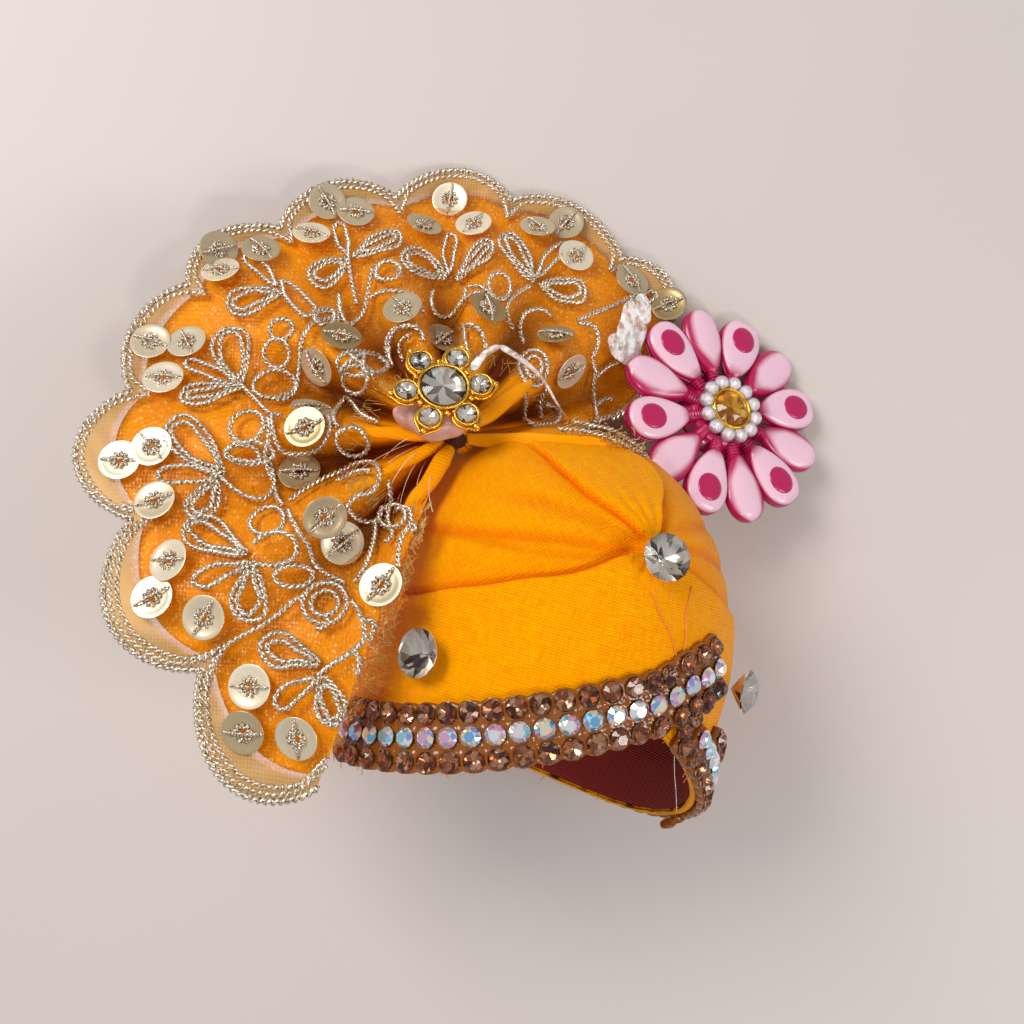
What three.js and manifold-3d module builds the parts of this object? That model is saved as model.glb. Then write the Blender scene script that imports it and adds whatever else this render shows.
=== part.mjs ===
import * as THREE from 'three';
import { mergeVertices } from 'three/addons/utils/BufferGeometryUtils.js';
import Module from 'manifold-3d';

const wasm = await Module();
wasm.setup();

// A small tied pagri lying on its side. Millimetres, +Z up, floor at zero height.

// Driving dimensions
const capRadius = 22.6; // outside of the silk at the brow
const crownHeight = 28.4; // from the brow line to the top of the crown
const silkWall = 1.6; // folded silk over the stiff cap
const liningWall = 0.9; // ribbed weave inside
const seat = 0.3; // gap that neighbouring pieces keep
const capCentre = new THREE.Vector3(4.2, -18.2, 21.8); // middle of the brow circle above the floor
const crownRoll = 16.5; // degrees that the crown points right of +Y
const crownDip = 3; // degrees that the crown points down
const browTurn = 55; // degrees that the brow is turned up from the floor

const stonePitch = 2.55; // rhinestone trim, along and across
const stoneRadius = 1.05;
const trimWall = 0.9; // clear amber base of the trim
const stoneRise = 0.75;
const tableShare = 0.58; // a cut stone's table, as a share of its girdle

const fanNeck = new THREE.Vector3(-6.9, 9.2, 28.5); // where the fan is tied
const neckReach = 2.4; // from the tie to the first pleat edges
const satinWall = 1.0;
const laceWall = 0.8;
const layerGap = 0.75; // upright gap between the two layers, which is narrower on a slope
const satinShares = [0, 0.15, 0.27, 0.44, 0.64, 0.84]; // how far out its rows lie, as shares of the reach
const laceShares = [0.27, 0.44, 0.64, 0.84, 1];
const borderRadius = 1.1;
const borderGap = 0.6; // wider than a seat, because the cord rounds off the notches
const columnsPerScallop = 5;
const overCapStart = 170; // degrees, the direction from which the fan lies over the cap
const overCapGap = 1.2; // between the cap's silk and the satin there

const chatonRadius = 2.75;
const broochRing = 4.3; // from the brooch's middle to its outer stones
const petalCount = 12;
const flowerRadius = 15.5;

const degrees = THREE.MathUtils.degToRad;

// Cap frame: +X is the brow's front, +Y the wearer's left and +Z the crown
const crownAxis = new THREE.Vector3(
  Math.sin(degrees(crownRoll)) * Math.cos(degrees(crownDip)),
  Math.cos(degrees(crownRoll)) * Math.cos(degrees(crownDip)),
  -Math.sin(degrees(crownDip)),
);
const sideAxis = new THREE.Vector3(Math.cos(degrees(crownRoll)), -Math.sin(degrees(crownRoll)), 0);
const upperAxis = new THREE.Vector3().crossVectors(sideAxis, crownAxis);
const frontAxis = new THREE.Vector3()
  .addScaledVector(sideAxis, Math.cos(degrees(browTurn)))
  .addScaledVector(upperAxis, Math.sin(degrees(browTurn)));
const leftAxis = new THREE.Vector3().crossVectors(crownAxis, frontAxis);
const capMatrix = new THREE.Matrix4().makeBasis(frontAxis, leftAxis, crownAxis).setPosition(capCentre);
const capInverse = capMatrix.clone().invert();

// Folds of the wound silk: each groove runs from one point of the cap to another.
// Columns: turn and height where it starts, turn and height where it ends, depth
const wrapFolds = [
  { turn: -16, height: 15.5, toTurn: -104, toHeight: 1.5, depth: 0.9 },
  { turn: -16, height: 16.0, toTurn: -98, toHeight: 11.0, depth: 0.6 },
  { turn: -14, height: 17.0, toTurn: -84, toHeight: 18.5, depth: 0.6 },
  { turn: -10, height: 19.0, toTurn: -84, toHeight: 25.0, depth: 0.5 },
  { turn: -2, height: 17.0, toTurn: 62, toHeight: 21.0, depth: 0.5 },
];
const foldHalfWidth = 2.2;

// A closed mesh from separate triangles, with shared vertices merged
function closedGeometry(triangles) {
  const geometry = new THREE.BufferGeometry().setFromPoints(triangles.flat());
  return mergeVertices(geometry, 1e-5);
}

// Two triangles for the quad a b c d, seen anticlockwise from outside
function quad(triangles, a, b, c, d) {
  triangles.push([a, b, c], [a, c, d]);
}

// A solid sheet between an upper and a lower grid of points, closed along its four edges
function sheetGeometry(columns, rows, upper, lower) {
  const top = [];
  const bottom = [];
  for (let i = 0; i <= columns; i += 1) {
    top.push([]);
    bottom.push([]);
    for (let j = 0; j <= rows; j += 1) {
      top[i].push(upper(i / columns, j / rows));
      bottom[i].push(lower(i / columns, j / rows));
    }
  }
  const triangles = [];
  for (let i = 0; i < columns; i += 1) {
    for (let j = 0; j < rows; j += 1) {
      quad(triangles, top[i][j], top[i][j + 1], top[i + 1][j + 1], top[i + 1][j]);
      quad(triangles, bottom[i][j], bottom[i + 1][j], bottom[i + 1][j + 1], bottom[i][j + 1]);
    }
    quad(triangles, top[i][0], top[i + 1][0], bottom[i + 1][0], bottom[i][0]);
    quad(triangles, top[i + 1][rows], top[i][rows], bottom[i][rows], bottom[i + 1][rows]);
  }
  for (let j = 0; j < rows; j += 1) {
    quad(triangles, top[0][j + 1], top[0][j], bottom[0][j], bottom[0][j + 1]);
    quad(triangles, top[columns][j], top[columns][j + 1], bottom[columns][j + 1], bottom[columns][j]);
  }
  return closedGeometry(triangles);
}

function toManifold(geometry) {
  const bare = geometry.clone();
  bare.deleteAttribute('normal');
  bare.deleteAttribute('uv');
  const merged = mergeVertices(bare, 1e-5);
  return new wasm.Manifold(new wasm.Mesh({
    numProp: 3,
    vertProperties: new Float32Array(merged.attributes.position.array),
    triVerts: new Uint32Array(merged.index.array),
  }));
}

function fromManifold(solid) {
  const mesh = solid.getMesh();
  const geometry = new THREE.BufferGeometry();
  geometry.setAttribute('position', new THREE.BufferAttribute(mesh.vertProperties, 3));
  geometry.setIndex(new THREE.BufferAttribute(mesh.triVerts, 1));
  return geometry;
}

function piece(name, geometry, color, roughness, metalness) {
  const mesh = new THREE.Mesh(geometry, new THREE.MeshStandardMaterial({ color, roughness, metalness }));
  mesh.name = name;
  return mesh;
}

// Height of the cap's lower edge at a turn round the head: an upturned V in front, deep at the sides
function rimHeight(turn) {
  return -(0.2 + 21.8 * Math.abs(Math.sin(turn / 2)) + 4.5 * Math.cos(turn) - 1.5 * Math.cos(2 * turn));
}

// The crown is fuller behind the wearer's right ear, where the fan is tied
function crownFullness(turn) {
  return 2.25 + 0.3 * Math.cos(turn + degrees(120));
}

function radiusAt(turn, height) {
  const power = crownFullness(turn);
  const rise = THREE.MathUtils.clamp(height / crownHeight, 0, 1);
  return capRadius * (1 - rise ** power) ** (1 / power);
}

function foldRelief(turn, height) {
  let relief = 0;
  for (const fold of wrapFolds) {
    const start = new THREE.Vector2(degrees(fold.turn) * capRadius, fold.height);
    const end = new THREE.Vector2(degrees(fold.toTurn) * capRadius, fold.toHeight);
    const run = end.clone().sub(start);
    const here = new THREE.Vector2(turn * capRadius, height).sub(start);
    const along = THREE.MathUtils.clamp(here.dot(run) / run.lengthSq(), 0, 1);
    const away = here.addScaledVector(run, -along).length() / foldHalfWidth;
    relief = Math.min(relief, -fold.depth * Math.exp(-away * away));
  }
  return relief;
}

// A point of the silk, or of a surface inset below it; share runs from the rim to the crown's top
function capPoint(turn, share, inset, rimLift) {
  const browShare = 0.3;
  const radius = capRadius - inset;
  const rim = rimHeight(turn) + rimLift;
  const relief = inset === 0 ? 1 : 0;
  const power = crownFullness(turn);
  let height = rim * (1 - share / browShare);
  let reach = radius;
  if (share > browShare) {
    const swing = ((share - browShare) / (1 - browShare)) * Math.PI / 2;
    height = (crownHeight - inset) * Math.sin(swing) ** (2 / power);
    reach = radius * Math.max(0, Math.cos(swing)) ** (2 / power);
  }
  if (share < 1) reach += relief * foldRelief(turn, height);
  const point = new THREE.Vector3(reach * Math.cos(turn), reach * Math.sin(turn), height);
  const lying = point.clone().applyMatrix4(capMatrix);
  lying.z = Math.max(lying.z, inset); // the silk is flattened where the cap rests
  return lying.applyMatrix4(capInverse);
}

// A hollow cap between two insets, open below, with the same number of columns all round
function capGeometry(columns, rows, outerInset, innerInset, rimLift) {
  const ring = (inset) => (i, j) => (
    j === rows
      ? new THREE.Vector3(0, 0, crownHeight - inset)
      : capPoint(((i % columns) / columns) * 2 * Math.PI - Math.PI, j / rows, inset, rimLift)
  );
  const outer = ring(outerInset);
  const inner = ring(innerInset);
  const triangles = [];
  for (let i = 0; i < columns; i += 1) {
    for (let j = 0; j < rows - 1; j += 1) {
      quad(triangles, outer(i, j), outer(i + 1, j), outer(i + 1, j + 1), outer(i, j + 1));
      quad(triangles, inner(i, j), inner(i, j + 1), inner(i + 1, j + 1), inner(i + 1, j));
    }
    triangles.push([outer(i, rows - 1), outer(i + 1, rows - 1), outer(i, rows)]);
    triangles.push([inner(i, rows - 1), inner(i, rows), inner(i + 1, rows - 1)]);
    quad(triangles, outer(i, 0), inner(i, 0), inner(i + 1, 0), outer(i + 1, 0));
  }
  return closedGeometry(triangles);
}

// Rhinestone trim: cells laid along a path on the cap, three stones wide.
// The path's points are turn in degrees and height; each row of stones skips some cells at its start.
function trimGeometry(path, rowStarts) {
  const curve = new THREE.CatmullRomCurve3(
    path.map(({ turn, height }) => new THREE.Vector3(degrees(turn) * capRadius, height, 0)),
  );
  curve.arcLengthDivisions = 400;
  const length = curve.getLength();
  const count = Math.floor(length / stonePitch);
  const rows = rowStarts.length;
  const at = (along, across, out) => {
    const share = THREE.MathUtils.clamp((along * stonePitch) / length, 0, 1);
    const middle = curve.getPointAt(share);
    const tangent = curve.getTangentAt(share);
    const offset = (across - rows / 2) * stonePitch;
    const turn = (middle.x - tangent.y * offset) / capRadius;
    const height = middle.y + tangent.x * offset;
    const reach = radiusAt(turn, height) + seat + out;
    return new THREE.Vector3(reach * Math.cos(turn), reach * Math.sin(turn), height);
  };
  const present = (i, j) => j >= 0 && j < rows && i >= rowStarts[j] && i < count;
  const triangles = [];
  for (let i = 0; i < count; i += 1) {
    for (let j = 0; j < rows; j += 1) {
      if (!present(i, j)) continue;
      const corners = [[i, j], [i + 1, j], [i + 1, j + 1], [i, j + 1]];
      const high = corners.map(([x, y]) => at(x, y, trimWall));
      const low = corners.map(([x, y]) => at(x, y, 0));
      quad(triangles, low[3], low[2], low[1], low[0]);
      const octagon = (radius, out) => Array.from({ length: 8 }, (unused, k) => {
        const angle = degrees(22.5 + 45 * k);
        const reach = radius / stonePitch;
        return at(i + 0.5 + reach * Math.cos(angle), j + 0.5 + reach * Math.sin(angle), out);
      });
      const girdle = octagon(stoneRadius, trimWall);
      const table = octagon(stoneRadius * tableShare, trimWall + stoneRise);
      for (let k = 0; k < 8; k += 1) {
        quad(triangles, girdle[k], girdle[(k + 1) % 8], table[(k + 1) % 8], table[k]);
        if (k > 0 && k < 7) triangles.push([table[0], table[k], table[k + 1]]);
      }
      // Corner k looks at girdle point 2k + 4, and side k lies between corners k and k + 1
      for (let k = 0; k < 4; k += 1) {
        const first = girdle[(2 * k + 4) % 8];
        const second = girdle[(2 * k + 5) % 8];
        const third = girdle[(2 * k + 6) % 8];
        triangles.push([high[k], second, first]);
        quad(triangles, high[k], high[(k + 1) % 4], third, second);
      }
      const neighbours = [[i, j - 1], [i + 1, j], [i, j + 1], [i - 1, j]];
      neighbours.forEach(([x, y], k) => {
        const next = (k + 1) % 4;
        if (!present(x, y)) quad(triangles, low[k], low[next], high[next], high[k]);
      });
    }
  }
  return closedGeometry(triangles);
}

// The two lengths of trim: right of the brow and over the peak, and down the wearer's left
const trimLift = 3.7; // from the rim to the middle row
const alongRim = (turn) => ({ turn, height: rimHeight(degrees(turn)) + trimLift });
const trimRightPath = [
  ...[-98, -85, -72, -60, -48, -36, -24, -12, -3].map(alongRim),
  { turn: 6, height: 2.6 },
  { turn: 15, height: 4.6 },
  { turn: 25, height: 7.1 },
];
const trimLeftPath = [4, 12, 22, 34, 48, 62, 76, 90, 104, 117].map(alongRim);

// The fan's folds, ridges and valleys in turn. Columns: direction in degrees as seen from above,
// reach from the tie to the border's notches, height of that edge, lift of the cloth halfway out
const fanFolds = [
  { direction: 9, reach: 20.0, edge: 10.5, lift: -1.5 },
  { direction: 21, reach: 27.5, edge: 4.6, lift: -1.5 },
  { direction: 38, reach: 33.5, edge: 2.4, lift: -0.5 },
  { direction: 59, reach: 34.0, edge: 1.4, lift: 0.5 },
  { direction: 80, reach: 35.0, edge: 0.4, lift: 0.5 },
  { direction: 96, reach: 35.3, edge: 1.0, lift: 0.5 },
  { direction: 111, reach: 35.8, edge: 4.2, lift: 0.5 },
  { direction: 128, reach: 37.0, edge: 9.6, lift: 0.5 },
  { direction: 145, reach: 39.4, edge: 14.6, lift: 0.5 },
  { direction: 161, reach: 39.9, edge: 19.6, lift: 0.5 },
  { direction: 178, reach: 39.6, edge: 25.4, lift: 1.0 },
  { direction: 194, reach: 38.2, edge: 31.0, lift: 1.5 },
  { direction: 210, reach: 37.6, edge: 35.4, lift: 3.0 },
  { direction: 229, reach: 38.2, edge: 37.6, lift: 5.0 },
  { direction: 250, reach: 41.0, edge: 40.6, lift: 5.0 },
];
// Depth of the pleats, from their middle level. Columns: share of the reach, depth
const pleatDepths = [
  { share: 0.0, depth: 0.4 },
  { share: 0.2, depth: 2.3 },
  { share: 0.4, depth: 2.8 },
  { share: 0.6, depth: 2.0 },
  { share: 0.8, depth: 0.9 },
  { share: 1.0, depth: 0.4 },
];
// Scallops of the border. Columns: direction where one starts, how far it bulges before the next
const scallops = [
  { direction: 9, bulge: 1.6 },
  { direction: 24, bulge: 3.0 },
  { direction: 50, bulge: 3.0 },
  { direction: 79, bulge: 3.8 },
  { direction: 105, bulge: 3.8 },
  { direction: 130, bulge: 3.0 },
  { direction: 150, bulge: 3.2 },
  { direction: 172, bulge: 5.8 },
  { direction: 195, bulge: 6.2 },
  { direction: 224, bulge: 6.6 },
  { direction: 250, bulge: 0 },
];
const scallopShape = 0.75;

// Reads a column of a table between its rows, with an easy curve through them
function readTable(rows, keyName, valueName, key) {
  let next = 1;
  while (next < rows.length - 1 && rows[next][keyName] < key) next += 1;
  const low = rows[next - 1];
  const high = rows[next];
  const share = THREE.MathUtils.clamp((key - low[keyName]) / (high[keyName] - low[keyName]), 0, 1);
  return THREE.MathUtils.lerp(low[valueName], high[valueName], share);
}

// +1 on a ridge and -1 in a valley
function pleatWave(direction) {
  let next = 1;
  while (next < fanFolds.length - 1 && fanFolds[next].direction < direction) next += 1;
  const low = fanFolds[next - 1].direction;
  const share = THREE.MathUtils.clamp((direction - low) / (fanFolds[next].direction - low), 0, 1);
  return Math.cos((next - 1 + share) * Math.PI);
}

function scallop(direction) {
  let next = 1;
  while (next < scallops.length - 1 && scallops[next].direction < direction) next += 1;
  const low = scallops[next - 1];
  const width = scallops[next].direction - low.direction;
  const share = THREE.MathUtils.clamp((direction - low.direction) / width, 0, 1);
  return low.bulge * Math.sin(share * Math.PI) ** scallopShape;
}

// Height of the cap's upper side over a point of the floor, or nothing beside the cap
function capTop(x, y, margin) {
  for (let z = 50; z > 20; z -= 0.2) {
    const local = new THREE.Vector3(x, y, z).applyMatrix4(capInverse);
    const turn = Math.atan2(local.y, local.x);
    const inside = Math.hypot(local.x, local.y) < radiusAt(turn, local.z) + margin;
    if (inside && local.z < crownHeight && local.z > rimHeight(turn) - margin) return z;
  }
  return -Infinity;
}

// The satin's upper face at a direction and a distance from the tie
function fanPoint(direction, distance, above) {
  const reach = readTable(fanFolds, 'direction', 'reach', direction);
  const share = Math.min(1, (distance - neckReach) / (reach - neckReach));
  const edge = readTable(fanFolds, 'direction', 'edge', direction);
  const lift = readTable(fanFolds, 'direction', 'lift', direction);
  const depth = readTable(pleatDepths, 'share', 'depth', share);
  const x = fanNeck.x + distance * Math.cos(degrees(direction));
  const y = fanNeck.y + distance * Math.sin(degrees(direction));
  let z = THREE.MathUtils.lerp(fanNeck.z, edge, share) + 4 * lift * share * (1 - share);
  z += depth * pleatWave(direction);
  if (direction > overCapStart) z = Math.max(z, capTop(x, y, silkWall) + satinWall + overCapGap);
  return new THREE.Vector3(x, y, z + above);
}

const borderReach = (direction) => readTable(fanFolds, 'direction', 'reach', direction) + scallop(direction);

// Columns are evenly spaced between the border's notches, so that each notch has its own column
function fanDirection(u) {
  const step = u * (scallops.length - 1);
  const low = Math.min(Math.floor(step), scallops.length - 2);
  return THREE.MathUtils.lerp(scallops[low].direction, scallops[low + 1].direction, step - low);
}

// The border's line as seen from above
function borderPlan(u) {
  const direction = fanDirection(THREE.MathUtils.clamp(u, 0, 1));
  const reach = borderReach(direction);
  return new THREE.Vector2(
    fanNeck.x + reach * Math.cos(degrees(direction)),
    fanNeck.y + reach * Math.sin(degrees(direction)),
  );
}

// The lace's edge runs beside the cord, square to the cord's line
function laceEdge(u, above) {
  const step = 0.4 / ((scallops.length - 1) * columnsPerScallop);
  const along = borderPlan(u + step).sub(borderPlan(u - step)).normalize();
  const inward = new THREE.Vector2(-along.y, along.x);
  const plan = borderPlan(u).addScaledVector(inward, borderRadius + borderGap);
  const direction = Math.atan2(plan.y - fanNeck.y, plan.x - fanNeck.x) / degrees(1);
  const distance = Math.hypot(plan.x - fanNeck.x, plan.y - fanNeck.y);
  return fanPoint(direction < 0 ? direction + 360 : direction, distance, above);
}

// A layer of the fan, with its rows at the given shares of the reach between tie and notches
function fanLayer(shares, above, wall) {
  const rows = shares.length - 1;
  const at = (height) => (u, v) => {
    const share = shares[Math.round(v * rows)];
    if (share === 1) return laceEdge(u, height);
    const direction = fanDirection(u);
    const reach = readTable(fanFolds, 'direction', 'reach', direction) * share;
    return fanPoint(direction, Math.max(neckReach, reach), height);
  };
  return sheetGeometry((scallops.length - 1) * columnsPerScallop, rows, at(above), at(above - wall));
}

// Twisted cord sewn round the lace's scallops
function borderGeometry(steps) {
  const points = [];
  for (let i = 0; i <= steps; i += 1) {
    const direction = fanDirection(i / steps);
    points.push(fanPoint(direction, borderReach(direction), layerGap + laceWall / 2));
  }
  const section = new THREE.Shape(
    Array.from({ length: 6 }, (unused, k) => new THREE.Vector2(
      borderRadius * Math.cos(degrees(60 * k)),
      borderRadius * Math.sin(degrees(60 * k)),
    )),
  );
  const path = new THREE.CatmullRomCurve3(points, false, 'centripetal');
  return new THREE.ExtrudeGeometry(section, { steps, extrudePath: path });
}

// A cut stone standing on +Z: a point below, then girdle, sloped facets and table
function cutStone(sides, radius, depth, crown) {
  const profile = [
    new THREE.Vector2(0, 0),
    new THREE.Vector2(radius, depth),
    new THREE.Vector2(radius * tableShare, depth + crown),
    new THREE.Vector2(0, depth + crown),
  ];
  const lathe = new THREE.LatheGeometry(profile, sides);
  return lathe.rotateX(Math.PI / 2);
}

function disc(sides, radius, low, high, x, y) {
  const cylinder = new THREE.CylinderGeometry(radius, radius, high - low, sides);
  return cylinder.rotateX(Math.PI / 2).translate(x, y, (low + high) / 2);
}

function ball(radius, x, y, z) {
  return new THREE.OctahedronGeometry(radius, 0).translate(x, y, z);
}

// Turns an object so that its +Z points along an axis
function face(object, axis) {
  object.quaternion.setFromUnitVectors(new THREE.Vector3(0, 0, 1), axis.clone().normalize());
  return object;
}

const pagri = new THREE.Group();

// The cap, its lining and its trim, in the cap's own frame
const cap = new THREE.Group();
cap.position.copy(capCentre);
cap.setRotationFromMatrix(capMatrix);
pagri.add(cap);
cap.add(piece('cap_shell', capGeometry(42, 9, 0, silkWall, 0), 0xff9400, 0.55, 0));
const liningInset = silkWall + seat;
cap.add(piece(
  'cap_lining',
  capGeometry(28, 5, liningInset, liningInset + liningWall, 0.8),
  0x5a1010,
  0.85,
  0,
));
cap.add(piece('rim_band_right', trimGeometry(trimRightPath, [0, 0, 0]), 0x7a4a22, 0.2, 0));
cap.add(piece('rim_band_left', trimGeometry(trimLeftPath, [1, 2, 4]), 0x7a4a22, 0.2, 0));

// Pointed-back stones glued on the silk. Columns: name, turn, height, share of upright lean
const chatons = [
  { name: 'chaton_front', turn: -12, height: 14.6, lean: 0.5 },
  { name: 'chaton_right', turn: -71, height: -2.4, lean: 0 },
  { name: 'chaton_left', turn: 44, height: 3.0, lean: 0 },
];
for (const { name, turn, height, lean } of chatons) {
  const angle = degrees(turn);
  const reach = radiusAt(angle, height) + foldRelief(angle, height);
  const slope = (radiusAt(angle, height - 0.5) - radiusAt(angle, height + 0.5));
  const normal = new THREE.Vector3(Math.cos(angle), Math.sin(angle), slope).normalize();
  const upright = new THREE.Vector3(0, 0, 1).transformDirection(capInverse);
  const stone = piece(name, cutStone(12, chatonRadius, 2.0, 1.1), 0xe8eef2, 0.05, 0);
  stone.position.set(reach * Math.cos(angle), reach * Math.sin(angle), height);
  stone.position.addScaledVector(normal, seat + 0.15);
  cap.add(face(stone, normal.addScaledVector(upright, lean)));
}

// The fan: satin below, net lace above, cord round the scallops
pagri.add(piece('fan_satin', fanLayer(satinShares, 0, satinWall), 0xd87400, 0.45, 0));
pagri.add(piece(
  'fan_lace',
  fanLayer(laceShares, layerGap + laceWall, laceWall),
  0xc9a96a,
  0.6,
  0,
));
pagri.add(piece('fan_border_cord', borderGeometry(70), 0xd8c8a8, 0.4, 0.3));

// The bound neck of the fan, standing on the cap
const tieAxis = new THREE.Vector3(-0.62, 0.55, 0.56).normalize();
const tieRadius = 1.6;
const tieFootGap = 1.2; // of its axis, so that its slanting foot clears the silk
let tieDepth = 0;
while (tieDepth < 6) {
  const foot = fanNeck.clone().addScaledVector(tieAxis, -tieDepth).applyMatrix4(capInverse);
  const clear = Math.hypot(foot.x, foot.y) - radiusAt(Math.atan2(foot.y, foot.x), foot.z);
  if (clear < tieFootGap) break;
  tieDepth += 0.1;
}
const tie = piece('fan_tie', disc(10, tieRadius, -tieDepth, 0.8, 0, 0), 0xb85a00, 0.7, 0);
tie.position.copy(fanNeck);
pagri.add(face(tie, tieAxis));

// The brooch: a gold setting with a middle cup and six outer cups with ball tips
const brooch = new THREE.Group();
brooch.position.set(-8.0, 13.9, 33.4);
face(brooch, new THREE.Vector3(0.12, 0.42, 0.9));
brooch.rotateZ(degrees(8));
pagri.add(brooch);
const centreStone = 2.55;
const outerStone = 1.2;
const beadRing = 3.5;
let setting = toManifold(disc(14, centreStone + 0.55, 0, 1.5, 0, 0));
const outerPlaces = Array.from({ length: 6 }, (unused, k) => ({
  x: broochRing * Math.cos(degrees(60 * k)),
  y: broochRing * Math.sin(degrees(60 * k)),
}));
outerPlaces.forEach(({ x, y }, k) => {
  const between = degrees(60 * k + 30);
  setting = setting.add(toManifold(disc(8, outerStone + 0.35, 0.1, 1.2, x, y)));
  setting = setting.add(toManifold(ball(0.55, x * 1.42, y * 1.42, 0.75)));
  setting = setting.add(toManifold(ball(0.65, beadRing * Math.cos(between), beadRing * Math.sin(between), 0.9)));
});
setting = setting.subtract(toManifold(disc(14, centreStone + 0.3, 0.7, 2, 0, 0)));
outerPlaces.forEach(({ x, y }) => {
  setting = setting.subtract(toManifold(disc(8, outerStone + 0.14, 0.6, 2, x, y)));
});
brooch.add(piece('brooch_setting', fromManifold(setting), 0xd9a520, 0.25, 1));
const centre = piece('brooch_stone_centre', cutStone(12, centreStone, 0.5, 0.9), 0xd8dce0, 0.05, 0);
centre.position.z = 0.7 + seat;
brooch.add(centre);
outerPlaces.forEach(({ x, y }, k) => {
  const stone = piece(`brooch_stone_${k + 1}`, cutStone(8, outerStone - 0.16, 0.3, 0.5), 0xd8dce0, 0.05, 0);
  stone.position.set(x, y, 0.6 + seat);
  brooch.add(stone);
});

// Hot glue that fills the space between the brooch and the pleats
function glueBlob(name, radii, color) {
  const blob = new THREE.IcosahedronGeometry(1, 1).scale(radii[0], radii[1], radii[2]);
  return piece(name, blob, color, 0.2, 0);
}
const broochGlueHeight = 2.2;
const broochGlue = glueBlob('brooch_glue', [3.6, 3.0, broochGlueHeight], 0xe8c8b8);
broochGlue.position.set(-0.6, -1.8, -broochGlueHeight - seat);
brooch.add(broochGlue);

// The flower: moulded petals round a core, with a gold cup, a ring of balls and a yellow stone
const flower = new THREE.Group();
flower.position.set(28.7, 13.3, 8.4);
face(flower, new THREE.Vector3(0.41, 0.29, 0.865));
pagri.add(flower);
const coreRadius = 4.9;
flower.add(piece('flower_core', disc(16, coreRadius, -1.3, 0.6, 0, 0), 0xa8103c, 0.35, 0));

function petalGeometry(width, thick) {
  const start = coreRadius + seat;
  const length = flowerRadius - start;
  const sides = 10;
  const outline = (scale, z) => Array.from({ length: sides }, (unused, k) => {
    const angle = (k / sides) * 2 * Math.PI;
    const along = (1 - Math.cos(angle)) / 2;
    const half = 0.5 * width * Math.sin(angle) * (0.42 + 0.58 * along ** 0.8);
    const inward = (along - 0.5) * scale + 0.5;
    return new THREE.Vector3(start + length * inward, half * scale, z);
  });
  const levels = [outline(0.8, -thick / 2), outline(1, 0), outline(0.8, thick / 2)];
  const triangles = [];
  for (let k = 0; k < sides; k += 1) {
    const next = (k + 1) % sides;
    for (let level = 0; level < 2; level += 1) {
      quad(triangles, levels[level][next], levels[level][k], levels[level + 1][k], levels[level + 1][next]);
    }
    if (k > 0 && k < sides - 1) {
      triangles.push([levels[0][0], levels[0][k], levels[0][k + 1]]);
      triangles.push([levels[2][0], levels[2][k + 1], levels[2][k]]);
    }
  }
  return closedGeometry(triangles);
}
for (let k = 0; k < petalCount; k += 1) {
  const eye = k % 2 === 0;
  const petal = piece(`flower_petal_${k + 1}`, petalGeometry(eye ? 6.2 : 5.6, 2.6), 0xdca8bc, 0.4, 0);
  petal.rotation.z = degrees(9 + (360 / petalCount) * k);
  flower.add(petal);
}
let cup = toManifold(disc(16, 3.6, 0.9, 2.2, 0, 0));
for (let k = 0; k < petalCount; k += 1) {
  const angle = degrees((360 / petalCount) * (k + 0.5));
  cup = cup.add(toManifold(ball(1.02, 3.85 * Math.cos(angle), 3.85 * Math.sin(angle), 2.0)));
}
cup = cup.subtract(toManifold(disc(16, 2.75, 1.6, 4, 0, 0)));
flower.add(piece('flower_bezel', fromManifold(cup), 0xd9b060, 0.25, 1));
const citrine = piece('flower_stone', cutStone(12, 2.4, 0.6, 1.1), 0xd09010, 0.05, 0);
citrine.position.z = 1.6 + seat;
flower.add(citrine);

// Hot glue that holds the flower's petals to the fan
const flowerGlue = glueBlob('flower_glue', [2.1, 2.6, 1.0], 0xe8e4e0);
flowerGlue.position.set(15.9, 22.8, 10.2);
flowerGlue.rotation.y = degrees(36);
pagri.add(flowerGlue);

// The part stands with the middle of its underside at the origin
const bounds = new THREE.Box3().setFromObject(pagri, true);
const middle = bounds.getCenter(new THREE.Vector3());
pagri.position.set(-middle.x, -middle.y, -bounds.min.z);

const group = new THREE.Group();
group.add(pagri);

export default group;
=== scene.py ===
import random

import bpy
import numpy as np
from mathutils import Matrix, Vector


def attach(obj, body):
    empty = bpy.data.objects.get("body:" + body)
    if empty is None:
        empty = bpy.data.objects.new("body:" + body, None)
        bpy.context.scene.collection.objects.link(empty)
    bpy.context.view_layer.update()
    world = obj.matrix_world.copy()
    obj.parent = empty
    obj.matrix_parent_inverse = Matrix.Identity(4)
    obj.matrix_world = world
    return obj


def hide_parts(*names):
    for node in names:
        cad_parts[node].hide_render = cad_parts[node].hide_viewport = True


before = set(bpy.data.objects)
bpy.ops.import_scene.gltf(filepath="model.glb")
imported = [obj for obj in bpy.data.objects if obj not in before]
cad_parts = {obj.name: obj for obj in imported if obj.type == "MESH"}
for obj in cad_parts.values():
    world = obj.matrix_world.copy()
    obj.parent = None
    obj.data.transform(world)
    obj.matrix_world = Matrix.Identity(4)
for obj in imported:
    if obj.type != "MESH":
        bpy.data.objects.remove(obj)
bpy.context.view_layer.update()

# The view: straight down on the part as it lies, from 172 mm above the floor. Soft light comes from
# a large window on the upper left and a smaller one on the right, with a dim grey room round them.
scene = bpy.context.scene
scene.view_settings.view_transform = "Standard"
camera = bpy.data.objects.new("camera", bpy.data.cameras.new("camera"))
camera.data.sensor_width = 36.0
camera.data.lens = 42.19
camera.data.clip_start = 0.01
camera.location = (0.00518, -0.00412, 0.1724)
scene.collection.objects.link(camera)
scene.camera = camera


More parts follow.
